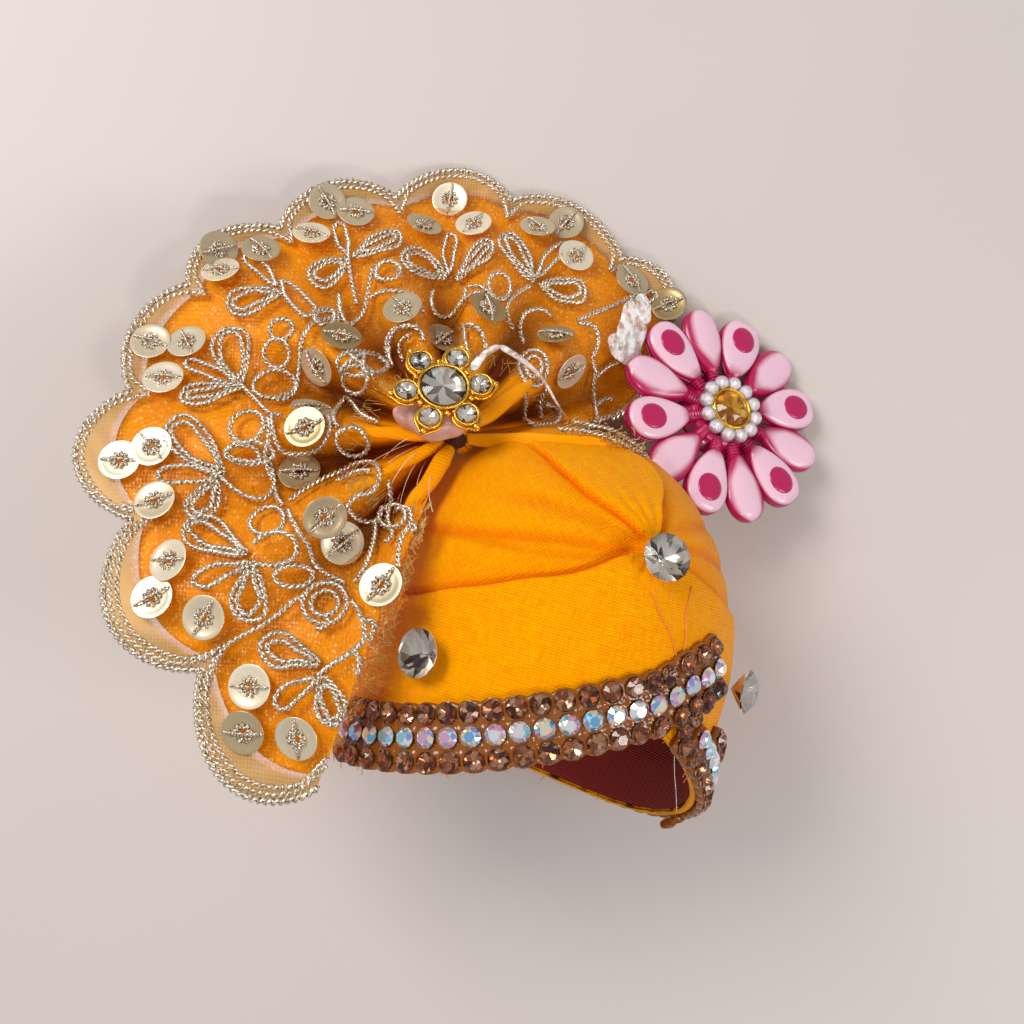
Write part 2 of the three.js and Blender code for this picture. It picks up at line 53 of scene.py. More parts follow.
def add_window(name, place, size, watts, tint=(1.0, 1.0, 1.0)):
    """A soft square light that faces the part; place and size are in metres"""
    lamp = bpy.data.lights.new(name, "AREA")
    lamp.size = size
    lamp.energy = watts
    lamp.color = tint
    window = bpy.data.objects.new(name, lamp)
    window.location = place
    window.rotation_euler = (-Vector(place)).to_track_quat("-Z", "Y").to_euler()
    scene.collection.objects.link(window)


add_window("window_left", (-0.22, 0.20, 0.34), 0.20, 1.34, (1.0, 0.975, 0.93))
add_window("window_right", (0.30, -0.10, 0.26), 0.12, 0.42)
add_window("lamp_above", (0.06, -0.20, 0.42), 0.04, 0.34, (1.0, 0.95, 0.88))
room = bpy.data.worlds.new("grey_room")
room.use_nodes = True
room.node_tree.nodes["Background"].inputs["Color"].default_value = (0.95, 0.95, 1.0, 1.0)
room.node_tree.nodes["Background"].inputs["Strength"].default_value = 0.40
scene.world = room


# The floor that it lies on: plain, pale and dull, a hair below the flattened silk.
def linear(hex_colour):
    """An sRGB hex value as linear red, green, blue and alpha"""
    parts = [int(hex_colour[k:k + 2], 16) / 255 for k in (1, 3, 5)]
    return tuple(c / 12.92 if c <= 0.04045 else ((c + 0.055) / 1.055) ** 2.4 for c in parts) + (1.0,)


def feed(node, inputs):
    """Sets a node's inputs, each from a socket, from a node's first output, from a hex colour or as it is"""
    for name, value in inputs.items():
        if isinstance(value, bpy.types.Node):
            value = next(socket for socket in value.outputs if socket.enabled)
        if isinstance(value, bpy.types.NodeSocket):
            node.id_data.links.new(value, node.inputs[name])
        else:
            node.inputs[name].default_value = linear(value) if isinstance(value, str) else value


def add_node(tree, kind, inputs, **settings):
    """Adds a node with its settings and its inputs"""
    node = tree.nodes.new("ShaderNode" + kind)
    for name, value in settings.items():
        setattr(node, name, value)
    feed(node, inputs)
    return node


def new_finish(name, inputs):
    """A material with one surface shader; gives back its tree and shader too, for the patterns"""
    material = bpy.data.materials.new(name)
    material.use_nodes = True
    shader = material.node_tree.nodes["Principled BSDF"]
    feed(shader, inputs)
    return material, material.node_tree, shader


def build(name, points, faces, material, smooth=True):
    """Makes a mesh object from points in millimetres"""
    mesh = bpy.data.meshes.new(name)
    mesh.from_pydata((np.asarray(points, float) * 0.001).tolist(), [], [list(map(int, f)) for f in faces])
    mesh.materials.append(material)
    if smooth:
        mesh.shade_smooth()
    piece = bpy.data.objects.new(name, mesh)
    scene.collection.objects.link(piece)
    return piece


stone_floor, tree, shader = new_finish("pale_floor", {"Roughness": 0.55})
grain = add_node(tree, "TexNoise", {"Scale": 14.0, "Detail": 3.0})
shade = add_node(tree, "Mix", {"Factor": grain, "A": "#c6bcb6", "B": "#d4cac4"}, data_type="RGBA")
feed(shader, {"Base Color": shade})
floor = build("floor", [(-900, -900, -0.05), (900, -900, -0.05), (900, 900, -0.05), (-900, 900, -0.05)],
              [(0, 1, 2, 3)], stone_floor)


# The silk of the cap: thin saffron habotai wound over a stiff form that is open below. A smooth panel
# crosses the brow, its folded edge laps the crown's layers, and all the folds meet above the front peak.
cap_radius, crown_height = 22.6, 28.4
cap_centre = np.array((9.38, -22.322, 21.8))
crown_roll, crown_dip, brow_turn = np.radians((16.5, 3.0, 55.0))
crown_axis = np.array((np.sin(crown_roll) * np.cos(crown_dip), np.cos(crown_roll) * np.cos(crown_dip),
                       -np.sin(crown_dip)))
side_axis = np.array((np.cos(crown_roll), -np.sin(crown_roll), 0.0))
front_axis = side_axis * np.cos(brow_turn) + np.cross(side_axis, crown_axis) * np.sin(brow_turn)
left_axis = np.cross(crown_axis, front_axis)
cap_axes = np.stack((front_axis, left_axis, crown_axis))


def from_cap(points):
    """Points in the cap's own frame, with the crown up and the brow to +X, brought to the part's frame"""
    return cap_centre + np.asarray(points) @ cap_axes


def to_cap(points):
    """The other way: the part's frame to the cap's own"""
    return (np.asarray(points) - cap_centre) @ cap_axes.T


def rim_height(turn):
    """Height of the cap's lower edge at a turn round the head, in radians: a raised V at the front"""
    return -(0.2 + 21.8 * np.abs(np.sin(turn / 2)) + 4.5 * np.cos(turn) - 1.5 * np.cos(2 * turn))


def fullness_at(turn):
    """How full the crown bulges at a turn, as the power of its outline; 2 would be an ellipse"""
    return 2.25 + 0.3 * np.cos(turn + np.radians(120))


def radius_at(turn, height):
    """The form's radius at a turn and a height"""
    fullness = fullness_at(turn)
    rise = np.clip(height / crown_height, 0, 1)
    return cap_radius * (1 - rise ** fullness) ** (1 / fullness)


def on_cap(turn, height, out=0.0):
    """A point in the cap's own frame; turn in radians"""
    reach = radius_at(turn, height) + out
    return np.stack((reach * np.cos(turn), reach * np.sin(turn), height + 0 * reach), -1)


def through(points, step):
    """A smooth line through points, with a new point about every step"""
    points = np.asarray(points, float)
    runs = np.concatenate(([0.0], np.cumsum(np.linalg.norm(np.diff(points, axis=0), axis=1))))
    count = max(3, int(runs[-1] / step) + 1)
    at = np.linspace(0, runs[-1], count)
    edge = 2 if len(points) > 2 else 1
    slopes = np.stack([np.gradient(points[:, k], runs, edge_order=edge) for k in range(points.shape[1])], -1)
    i = np.clip(np.searchsorted(runs, at) - 1, 0, len(runs) - 2)
    width = (runs[i + 1] - runs[i])[:, None]
    t = ((at - runs[i]) / width[:, 0])[:, None]
    return ((1 + 2 * t) * (1 - t) ** 2 * points[i] + t * (1 - t) ** 2 * width * slopes[i]
            + t * t * (3 - 2 * t) * points[i + 1] + t * t * (t - 1) * width * slopes[i + 1])


def grid_faces(columns, rows, closed=False, flip=False):
    """Quads between the points of a grid; a closed one joins its last column to its first"""
    i, j = np.meshgrid(np.arange(columns if closed else columns - 1), np.arange(rows - 1), indexing="ij")
    a = i * rows + j
    b = ((i + 1) % columns) * rows + j
    order = (a, a + 1, b + 1, b) if flip else (a, b, b + 1, a + 1)
    return np.stack(order, -1).reshape(-1, 4)


# Folds of the silk. Columns: kind, height of the lip or depth of the groove, half width in mm, then
# the line that it follows, as turns in degrees and heights in mm
silk_folds = (
    ("lap", 0.55, 5.0, ((-14, 16.0), (-18.5, 15.2), (-26, 13.8), (-30.5, 12.5), (-40.5, 10.2), (-49, 8.9),
                        (-61, 6.8), (-71.5, 5.3), (-83, 3.5), (-93.5, 2.6), (-106, 1.7), (-135, 1.5),
                        (-165, 4.0), (-190, 6.0))),
    ("groove", 0.40, 0.8, ((-16, 16.0), (-21.5, 15.5), (-31, 14.7), (-43.5, 14.1), (-56.5, 13.1),
                           (-72, 12), (-89, 11.3), (-107, 11.4))),
    ("groove", 0.28, 0.7, ((-18, 15.6), (-24, 14.6), (-36, 13.1), (-50, 12), (-66.5, 11.7), (-80, 12))),
    ("groove", 0.25, 1.2, ((-17, 16.2), (-20.5, 16.1), (-30, 16.8), (-41, 17.3), (-55, 17.4), (-71.5, 17.1))),
    ("lap", -0.40, 3.0, ((-15, 16.4), (-19, 17.1), (-24.5, 18.2), (-33.5, 19.2), (-42.5, 20.3), (-53, 21.8),
                         (-67.5, 23.6), (-82, 24.4))),
    ("lap", 0.75, 3.5, ((-13.5, 15.6), (-12.5, 16.8), (-10.5, 18.5), (-10, 20.5), (-7.5, 22.0), (-5.5, 23.4),
                        (-6.5, 24.6), (-10.5, 25.6), (-19.5, 26.4), (-40, 27.3))),
    ("lap", -0.5, 4.0, ((-8, 15.8), (0, 15.0), (14, 13.6), (34, 11.5), (60, 9.5), (95, 8.0), (130, 7.2),
                        (165, 6.8))),
    ("groove", 0.35, 0.9, ((-4, 17), (12, 17.5), (34, 17.0), (64, 15.0), (100, 13.0), (140, 12.5))),
    ("groove", 0.30, 1.0, ((-2, 19), (16, 20.5), (40, 21.0), (75, 20.0), (120, 18.5))),
    ("groove", 0.12, 0.22, ((-66, 5.4), (-65.4, 4.6), (-65, 3.4))),
    ("groove", 0.14, 0.22, ((-64, 5.7), (-63, 4.8), (-62.5, 3.4))),
    ("groove", 0.12, 0.22, ((-61.5, 5.8), (-60.6, 4.8), (-60, 3.5))),
    ("groove", 0.10, 0.22, ((-59.2, 6.1), (-58.5, 5.3), (-58, 4.6))),
)


def silk_relief(points):
    """How far the silk stands out from the form at points in the cap's frame, and how much painted shade its
    creases get
    """
    out = np.zeros(len(points))
    # crease gathers the painted shade: in the grooves, in the notch under each lap and just below it
    crease = np.zeros(len(points))
    outward = points / np.array((1, 1, 1.4))
    outward[:, 2] = np.maximum(outward[:, 2], 0)
    outward /= np.linalg.norm(outward, axis=1)[:, None] + 1e-9
    for kind, size, width, rows in silk_folds:
        rows = np.array(rows, float)
        line = through(on_cap(np.radians(rows[:, 0]), rows[:, 1]), 0.4)
        best = np.full(len(points), 1e9)
        nearest = np.zeros(len(points), int)
        for k, spot in enumerate(line):
            gap = ((points - spot) ** 2).sum(1)
            closer = gap < best
            best[closer] = gap[closer]
            nearest[closer] = k
        run = np.gradient(line, axis=0)
        run /= np.linalg.norm(run, axis=1)[:, None]
        left = np.cross(outward, run[nearest])
        side = ((points - line[nearest]) * left).sum(1)
        gap = np.sqrt(best)
        along = nearest / (len(line) - 1)
        fade = np.clip(along / 0.06, 0, 1) * np.clip((1 - along) / 0.25, 0, 1)
        beyond = np.exp(-np.maximum(gap - np.abs(side) - 0.3, 0) * 1.2)
        fade = fade ** 0.7 * beyond
        if kind == "groove":
            out -= size * fade * np.exp(-(gap / width) ** 2)
            crease = np.maximum(crease, 1.6 * size * fade * np.exp(-(gap / width) ** 2))
            continue
        side = side * np.sign(size)
        size = abs(size)
        step = np.clip(side / 0.5 + 0.5, 0, 1)
        step = step * step * (3 - 2 * step)
        out += fade * size * (step * np.exp(-np.maximum(side, 0) / width)
                              - 0.9 * (1 - step) * np.exp(np.minimum(side, 0) / (0.5 * width)))
        notch = np.exp(-((side + 0.25) / 0.32) ** 2)
        out -= 0.5 * size * fade * notch
        crease = np.maximum(crease, fade * np.maximum(notch, 0.45 * (side < 0) * np.exp(side / 1.6)))
    peak = on_cap(np.radians(-14.0), 16.0)
    away = points - peak
    spread = np.linalg.norm(away, axis=1)
    bearing = np.arctan2(away @ np.array((-0.24, 0.97, 0)), away[:, 2])
    out += 0.13 * np.sin(17 * bearing) * np.exp(-((spread - 3.5) / 4.0) ** 2) * (points[:, 2] > 12)
    turn = np.arctan2(points[:, 1], points[:, 0])
    out += 0.05 * np.sin(9 * turn + 0.35 * points[:, 2]) + 0.035 * np.sin(23 * turn - 0.5 * points[:, 2])
    return out, np.clip(crease, 0, 1)


silk_columns, brow_rows = 400, 62
turns = np.linspace(-np.pi, np.pi, silk_columns, endpoint=False)
brow_shares = np.linspace(0.03, 0.3, brow_rows)[:, None]
crown_swing = np.linspace(0, 1, 150)[1:-1, None] * np.pi / 2
fullness = fullness_at(turns)
heights = np.concatenate((rim_height(turns) * (1 - brow_shares / 0.3),
                          crown_height * np.sin(crown_swing) ** (2 / fullness)))
reaches = np.concatenate((np.full((brow_rows, silk_columns), cap_radius),
                          cap_radius * np.cos(crown_swing) ** (2 / fullness)))
# The cut edge is turned over the rim and glued inside, where it ends in a ragged line
hem_radius = 0.5
ragged = 0.75 + 0.15 * np.sin(31 * turns) + 0.12 * np.sin(53 * turns + 1) + 0.15 * np.sin(11 * turns)
hem_heights = [rim_height(turns) + ragged * k for k in (1.0, 0.7, 0.45)]
hem_reaches = [np.full(silk_columns, cap_radius - 2 * hem_radius)] * 3
for bend in np.radians(np.linspace(180, 0, 7)):
    hem_heights.append(rim_height(turns) + hem_radius * (1 - np.sin(bend)))
    hem_reaches.append(np.full(silk_columns, cap_radius - hem_radius + hem_radius * np.cos(bend)))
heights = np.concatenate((np.array(hem_heights), heights)).T
reaches = np.concatenate((np.array(hem_reaches), reaches)).T
silk_rows = heights.shape[1]
around = np.repeat(turns[:, None], silk_rows, 1)
flat_points = np.stack((reaches * np.cos(around), reaches * np.sin(around), heights), -1).reshape(-1, 3)
relief, crease_shade = silk_relief(flat_points)
hem_rows = len(hem_heights)
inside = (np.arange(len(flat_points)) % silk_rows) < hem_rows
relief[inside] = 0
crease_shade[inside] = 0
outward = flat_points / np.array((1, 1, 1.4))
outward[:, 2] = np.maximum(outward[:, 2], 0)
outward /= np.linalg.norm(outward, axis=1)[:, None]
silk_points = from_cap(flat_points + outward * relief[:, None])
top_point = from_cap(np.array((0, 0, crown_height)))
silk_points = np.vstack((silk_points, top_point))
silk_points[:, 2] = np.maximum(silk_points[:, 2], 0.0)
silk_faces = [tuple(f) for f in grid_faces(silk_columns, silk_rows, closed=True)]
for i in range(silk_columns):
    last = i * silk_rows + silk_rows - 1
    silk_faces.append((last, ((i + 1) % silk_columns) * silk_rows + silk_rows - 1, len(silk_points) - 1))

# Habotai silk, plain woven and dyed saffron: soft gloss with a warm sheen. The creases are painted darker and
# redder, as painted shade.
# Real threads lie 0.12 mm apart; they are drawn at 0.3 mm, as fine as the render can show.
saffron_silk, tree, shader = new_finish("saffron_habotai_silk",
                                        {"Roughness": 0.5, "IOR": 1.5, "Sheen Weight": 0.05,
                                         "Sheen Roughness": 0.4, "Sheen Tint": "#ffb040",
                                         "Specular IOR Level": 0.35, "Specular Tint": "#ffb030"})
thread_map = add_node(tree, "UVMap", {}, uv_map="threads")
split = add_node(tree, "SeparateXYZ", {"Vector": thread_map})
thread_turns = 2 * np.pi / 0.3
waves = []
for axis in "XY":
    scaled = add_node(tree, "Math", {0: split.outputs[axis], 1: thread_turns}, operation="MULTIPLY")
    waves.append(add_node(tree, "Math", {0: scaled}, operation="SINE"))
weave = add_node(tree, "Math", {0: waves[0], 1: waves[1]}, operation="MULTIPLY")
slub_map = add_node(tree, "Mapping", {"Vector": thread_map, "Scale": (0.5, 4.0, 1.0)})
slub = add_node(tree, "TexNoise", {"Vector": slub_map, "Scale": 1.0, "Detail": 4.0})
slub_across = add_node(tree, "Mapping", {"Vector": thread_map, "Scale": (4.0, 0.4, 1.0)})
slub_2 = add_node(tree, "TexNoise", {"Vector": slub_across, "Scale": 1.0, "Detail": 4.0})
slubs = add_node(tree, "Math", {0: slub, 1: slub_2}, operation="ADD")
thick_threads = add_node(tree, "Math", {0: waves[1], 1: 0.22, 2: slubs}, operation="MULTIPLY_ADD")
cloth_height = add_node(tree, "Math", {0: weave, 1: 0.42, 2: thick_threads}, operation="MULTIPLY_ADD")
bump = add_node(tree, "Bump", {"Height": cloth_height, "Strength": 1.0, "Distance": 0.00008})
feed(shader, {"Normal": bump})
slub_shade = add_node(tree, "MapRange", {"Value": cloth_height, "From Min": 0.5, "From Max": 1.5,
                                         "To Min": 0.0, "To Max": 1.0})
body_tone = add_node(tree, "Mix", {"Factor": slub_shade, "A": "#fc8000", "B": "#ffbc00"}, data_type="RGBA")
# Painted shade: the creases are mixed towards a dark red-orange
crease_shade_mask = add_node(tree, "Attribute", {}, attribute_name="crease")
silk_with_crease_shade = add_node(tree, "Mix", {"Factor": crease_shade_mask.outputs["Fac"], "A": body_tone, "B": "#e83c00"},
                        data_type="RGBA")
feed(shader, {"Base Color": silk_with_crease_shade})
wound_silk = build("wound_silk", silk_points, silk_faces, saffron_silk)


def set_point_value(piece, name, values):
    """Gives a piece one value for each point, for its material to read"""
    attribute = piece.data.attributes.new(name, "FLOAT", "POINT")
    attribute.data.foreach_set("value", np.asarray(values, np.float32))


def set_threads(piece, across, along):
    """Lays the thread map, in millimetres, on a piece from values at its points or at its faces' corners"""
    layer = piece.data.uv_layers.new(name="threads")
    if len(across) != len(piece.data.loops):
        corners = np.zeros(len(piece.data.loops), int)
        piece.data.loops.foreach_get("vertex_index", corners)
        across, along = across[corners], along[corners]
    layer.data.foreach_set("uv", np.stack((across, along), -1).astype(np.float32).ravel())


set_point_value(wound_silk, "crease", np.append(0.75 * crease_shade, 0))
# The brow panel's threads run round the head and up; the crown's run aslant, up to the laps. Each face
# takes its threads whole from one of the two. Where the panels meet: turns in degrees, heights in mm.
lap_turns = (-165, -135, -106, -93.5, -83, -71.5, -61, -49, -40.5, -30.5, -26, -18.5, -14, -8, 0, 14, 34, 60,
             95, 130, 165, 170)
lap_heights = (4, 1.5, 1.7, 2.6, 3.5, 5.3, 6.8, 8.9, 10.2, 12.5, 13.8, 15.2, 16, 15.8, 15, 13.6, 11.5, 9.5,
               8, 7.2, 6.8, 6)
height_here = np.append(flat_points[:, 2], crown_height)
turn_here = np.append(around.ravel(), 0)
corners = np.zeros(len(wound_silk.data.loops), int)
wound_silk.data.loops.foreach_get("vertex_index", corners)
quad_corners = 4 * silk_columns * (silk_rows - 1)
place = np.arange(len(corners))
first_corner = np.where(place < quad_corners, place // 4 * 4, quad_corners + (place - quad_corners) // 3 * 3)
lead = corners[first_corner]
limit = np.interp(np.degrees(turn_here[lead]), lap_turns, lap_heights, period=360)
turned = (turn_here[corners] - turn_here[lead] + np.pi) % (2 * np.pi) - np.pi
from_middle = silk_points - (cap_centre + 4 * crown_axis)
bend_down = np.arccos(from_middle[:, 2] / np.linalg.norm(from_middle, axis=1))
bearing = np.arctan2(from_middle[:, 1], from_middle[:, 0]) - np.radians(24)
crown_across = (cap_radius * bend_down * np.cos(bearing))[corners]
crown_along = (cap_radius * bend_down * np.sin(bearing))[corners]
brow_part = height_here[lead] < limit
set_threads(wound_silk, np.where(brow_part, (turn_here[lead] + turned) * cap_radius, crown_across),
            np.where(brow_part, height_here[corners], crown_along))
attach(wound_silk, "root")
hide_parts("cap_shell")


# The lining: a maroon ribbed weave glued inside the stiff cap, with its edge under the turned silk.
lining_columns = 220
lining_turns = np.linspace(-np.pi, np.pi, lining_columns, endpoint=False)
lining_shares = np.concatenate((np.linspace(0, 0.3, 34), np.linspace(0.3, 0.985, 60)[1:]))[:, None]
fullness = fullness_at(lining_turns)
lining_rim = rim_height(lining_turns) + 0.7
swing = np.clip((lining_shares - 0.3) / 0.7, 0, 1) * np.pi / 2
depth_inside = 1.15 + 1.2 * np.clip(lining_shares / 0.12, 0, 1) ** 0.8
height = np.where(lining_shares <= 0.3, lining_rim * (1 - lining_shares / 0.3),
                  (crown_height - depth_inside) * np.sin(swing) ** (2 / fullness))
reach = (cap_radius - depth_inside) * np.cos(swing) ** (2 / fullness)
lining_points = np.stack((reach * np.cos(lining_turns), reach * np.sin(lining_turns), height), -1)
lining_points = from_cap(lining_points.transpose(1, 0, 2).reshape(-1, 3))
lining_points[:, 2] = np.maximum(lining_points[:, 2], 1.1)
lining_points = np.vstack((lining_points, from_cap(np.array((0, 0, crown_height - 2.35)))))
rows = len(lining_shares)
lining_faces = [tuple(f) for f in grid_faces(lining_columns, rows, closed=True, flip=True)]
for i in range(lining_columns):
    last = i * rows + rows - 1
    lining_faces.append((last, len(lining_points) - 1, ((i + 1) % lining_columns) * rows + rows - 1))

# Polyester rib weave, dyed maroon and dull: fine ribs 0.35 mm apart run round the head.
maroon_rib, tree, shader = new_finish("maroon_rib_weave",
                                      {"Roughness": 0.85, "Sheen Weight": 0.25, "Sheen Tint": "#a04030"})
thread_map = add_node(tree, "UVMap", {}, uv_map="threads")
split = add_node(tree, "SeparateXYZ", {"Vector": thread_map})
rib_phase = add_node(tree, "Math", {0: split.outputs["Y"], 1: 2 * np.pi / 0.35}, operation="MULTIPLY")
ribs = add_node(tree, "Math", {0: rib_phase}, operation="SINE")
rib_noise = add_node(tree, "TexNoise", {"Vector": thread_map, "Scale": 1.5, "Detail": 5.0})
rib_height = add_node(tree, "Math", {0: rib_noise, 1: 1.2, 2: ribs}, operation="MULTIPLY_ADD")
bump = add_node(tree, "Bump", {"Height": rib_height, "Strength": 0.8, "Distance": 0.00005})
feed(shader, {"Normal": bump})
rib_tone = add_node(tree, "MapRange", {"Value": rib_height, "From Min": -0.6, "From Max": 1.6})
rib_colour = add_node(tree, "Mix", {"Factor": rib_tone, "A": "#660e06", "B": "#a0241a"}, data_type="RGBA")
feed(shader, {"Base Color": rib_colour})
lining = build("ribbed_lining", lining_points, lining_faces, maroon_rib)
lining_in_cap = to_cap(lining_points)
set_threads(lining, np.arctan2(lining_in_cap[:, 1], lining_in_cap[:, 0]) * cap_radius,
            lining_in_cap[:, 2] - 0.4 * np.hypot(lining_in_cap[:, 0], lining_in_cap[:, 1]))
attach(lining, "root")
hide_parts("cap_lining")


# The rhinestone trim: two lengths of a flexible amber strip glued over the silk, one along the brow and
# up over the front peak, one down the wearer's left. Three rows of small cut stones sit in it.
trim_pitch, trim_stone, trim_lift = 2.55, 1.18, 3.7


def along_rim(turns_here):
    """Turns and heights of a path beside the rim, from turns in degrees"""
    return [(t, rim_height(np.radians(t)) + trim_lift) for t in turns_here]


def trim_places(path):
    """How many stones a length of trim holds, and a function from (along, across) to the cap's surface"""
    path = np.array(path, float)
    path[:, 0] = np.radians(path[:, 0]) * cap_radius
    line = through(path, 0.1)
    runs = np.concatenate(([0.0], np.cumsum(np.linalg.norm(np.diff(line, axis=0), axis=1))))
    tangents = np.gradient(line, axis=0)
    tangents /= np.linalg.norm(tangents, axis=1)[:, None]

    def at(along, across, out):
        run = np.clip(along * trim_pitch, 0, runs[-1])
        middle = [np.interp(run, runs, line[:, k]) for k in (0, 1)]
        tangent = [np.interp(run, runs, tangents[:, k]) for k in (0, 1)]
        offset = (across - 1.5) * trim_pitch
        return from_cap(on_cap((middle[0] - tangent[1] * offset) / cap_radius,
                               middle[1] + tangent[0] * offset, 0.3 + out))

    return int(runs[-1] / trim_pitch), at


def thicken(top, bottom, faces):
    """A closed solid between two layers of points that share their quads"""
    used, faces = np.unique(faces, return_inverse=True)
    faces = faces.reshape(-1, 4)
    count = len(used)
    edges = np.concatenate([faces[:, [k, (k + 1) % 4]] for k in range(4)])
    forward = edges[:, 0] * count + edges[:, 1]
    backward = edges[:, 1] * count + edges[:, 0]
    rims = edges[~np.isin(forward, backward)]
    walls = np.stack((rims[:, 1], rims[:, 0], rims[:, 0] + count, rims[:, 1] + count), -1)
    return np.vstack((top[used], bottom[used])), np.vstack((faces, faces[:, ::-1] + count, walls)), used


def brilliant(sides, radius, crown, table, depth):
    """A cut stone round Z with its girdle at z = 0: its points, its crown's faces and its back's faces"""
    def ring(count, reach, z, shift):
        angle = 2 * np.pi * (np.arange(count) + shift) / count
        return np.stack((reach * np.cos(angle), reach * np.sin(angle), np.full(count, z)), -1)

    band = 0.035 * radius
    points = np.vstack((ring(sides, table * radius, crown, 0),
                        ring(sides, radius * (0.48 + 0.52 * table), crown * 0.58, 0.5),
                        ring(2 * sides, radius, band, 0), ring(2 * sides, radius, -band, 0),
                        ring(sides, radius * 0.42, -depth * 0.64, 0.5), ((0, 0, -depth),)))
    t, m, g, h, n = 0, sides, 2 * sides, 4 * sides, 6 * sides
    culet = 7 * sides
    crown_faces = [tuple(range(sides))]
    back_faces = []
    for k in range(sides):
        before, after = (k - 1) % sides, (k + 1) % sides
        g0, g1, g2 = 2 * k, 2 * k + 1, (2 * k + 2) % (2 * sides)
        crown_faces += [(t + k, m + k, t + after), (t + k, m + before, g + g0, m + k),
                        (m + k, g + g0, g + g1), (m + k, g + g1, g + g2)]
        back_faces += [(h + g0, h + g1, g + g1, g + g0), (h + g1, h + g2, g + g2, g + g1),
                       (n + k, h + g1, h + g0), (n + k, h + g2, h + g1),
                       (culet, n + k, h + g0, n + before)]
    return points, crown_faces, back_faces


def set_stones(name, stone, places, front, back, seed):
    """Sets copies of a cut stone in one mesh; each face gets a random tone, each stone a random hue"""
    points, crown_faces, back_faces = stone
    dice = np.random.default_rng(seed)
    every_point, every_face, backs, tones, hues = [], [], [], [], []
    for centre, normal in places:
        turn = Matrix.Rotation(dice.uniform(0, np.pi), 3, "Z")
        tilt = Matrix.Rotation(dice.normal(0, 0.03), 3, "X") @ Matrix.Rotation(dice.normal(0, 0.03), 3, "Y")
        stand = np.array(Vector(normal).to_track_quat("Z", "Y").to_matrix() @ tilt @ turn)
        first = sum(len(p) for p in every_point)
        every_point.append(np.asarray(centre) + points @ stand.T)
        hue = dice.uniform()
        for group, is_back in ((crown_faces, 0), (back_faces, 1)):
            for face in group:
                every_face.append(tuple(first + v for v in face))
                backs.append(is_back)
                tones.append(dice.uniform())
                hues.append(hue)
    piece = build(name, np.vstack(every_point), every_face, front, smooth=False)
    piece.data.materials.append(back)
    piece.data.polygons.foreach_set("material_index", backs)
    for key, values in (("tone", tones), ("hue", hues)):
        attribute = piece.data.attributes.new(key, "FLOAT", "FACE")
        attribute.data.foreach_set("value", np.array(values, np.float32))
    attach(piece, "root")
    return piece


def ramp(tree, factor, stops, blend="CONSTANT"):
    """A colour ramp from (position, hex colour) stops"""
    made = add_node(tree, "ValToRGB", {"Fac": factor})
    made.color_ramp.interpolation = blend
    while len(made.color_ramp.elements) < len(stops):
        made.color_ramp.elements.new(0.5)
    for element, (position, colour) in zip(made.color_ramp.elements, stops):
        element.position = position
        element.color = linear(colour)
    return made


def stone_glass(name, colour, film=0.0):
    """Polished lead glass, clear or tinted; fine scratches only break the shine a little"""
    material, tree, shader = new_finish(name,
                                        {"Base Color": colour, "Roughness": 0.02, "IOR": 1.56,
                                         "Transmission Weight": 1.0, "Coat Weight": film})
    wear = add_node(tree, "TexNoise", {"Scale": 2500.0, "Detail": 2.0})
    worn = add_node(tree, "MapRange", {"Value": wear, "From Min": 0.4, "From Max": 0.8, "To Min": 0.01,
                                       "To Max": 0.09})
    feed(shader, {"Roughness": worn})
    return material


def stone_foil(name, stops, roughness=0.12, metal=1.0):
    """The foil on a stone's back, part mirror; its tone changes from facet to facet, dark to near white, as
    painted reflections and glints
    """
    material, tree, shader = new_finish(name, {"Metallic": metal, "Roughness": roughness})
    tone = add_node(tree, "Attribute", {}, attribute_name="tone")
    colours = ramp(tree, tone.outputs["Fac"], stops)
    feed(shader, {"Base Color": colours})
    return material


# The strip: clear amber resin, glossy and a little cloudy, drawn up in a low cup round each stone.
amber_resin, tree, shader = new_finish("amber_resin",
                                       {"Roughness": 0.14, "IOR": 1.5, "Transmission Weight": 0.5})
cloud = add_node(tree, "TexNoise", {"Scale": 900.0, "Detail": 3.0})
amber = add_node(tree, "Mix", {"Factor": cloud, "A": "#8c4410", "B": "#dc8828"}, data_type="RGBA")
feed(shader, {"Base Color": amber})
topaz_glass = stone_glass("smoky_topaz_glass", "#dcac88")
# The foil's tones, picked facet by facet from dark to near white, are painted reflections and glints
topaz_foil = stone_foil("smoky_topaz_foil", ((0.0, "#6a3818"), (0.25, "#b07c50"), (0.5, "#e0b088"),
                                             (0.72, "#ffe8cc"), (0.86, "#ffffff")), 0.16, 0.8)
# Clear glass with a thin metal film on top: each facet is painted another rainbow tint, partly the film's own
# colours and partly painted reflections
aurora_glass, tree, shader = new_finish("aurora_coated_glass",
                                        {"Metallic": 0.72, "Roughness": 0.1, "Coat Weight": 0.8,
                                         "Coat Roughness": 0.03})
facet = add_node(tree, "Attribute", {}, attribute_name="tone")
whole = add_node(tree, "Attribute", {}, attribute_name="hue")
tint = add_node(tree, "Math", {0: facet.outputs["Fac"], 1: 0.4, 2: whole.outputs["Fac"]},
                operation="MULTIPLY_ADD")
wrapped = add_node(tree, "Math", {0: tint}, operation="FRACT")
film = ramp(tree, wrapped, ((0.0, "#9ce8f0"), (0.12, "#f8f8ff"), (0.27, "#b8a8f8"), (0.4, "#e8f4ff"),
                            (0.52, "#7cc4f4"), (0.64, "#fff4d0"), (0.76, "#f4b8e0"), (0.88, "#ffffff")))
feed(shader, {"Base Color": film})
# Its foil's tones per facet are painted reflections too, in the film's colours
aurora_foil = stone_foil("aurora_foil", ((0.0, "#58c8d8"), (0.14, "#d8f4ff"), (0.28, "#8a80f0"),
                                         (0.42, "#ffd0e8"), (0.55, "#50a8e8"), (0.68, "#ffe8a0"),
                                         (0.8, "#f0a0d0"), (0.9, "#ffffff")))
trim_rows = {}
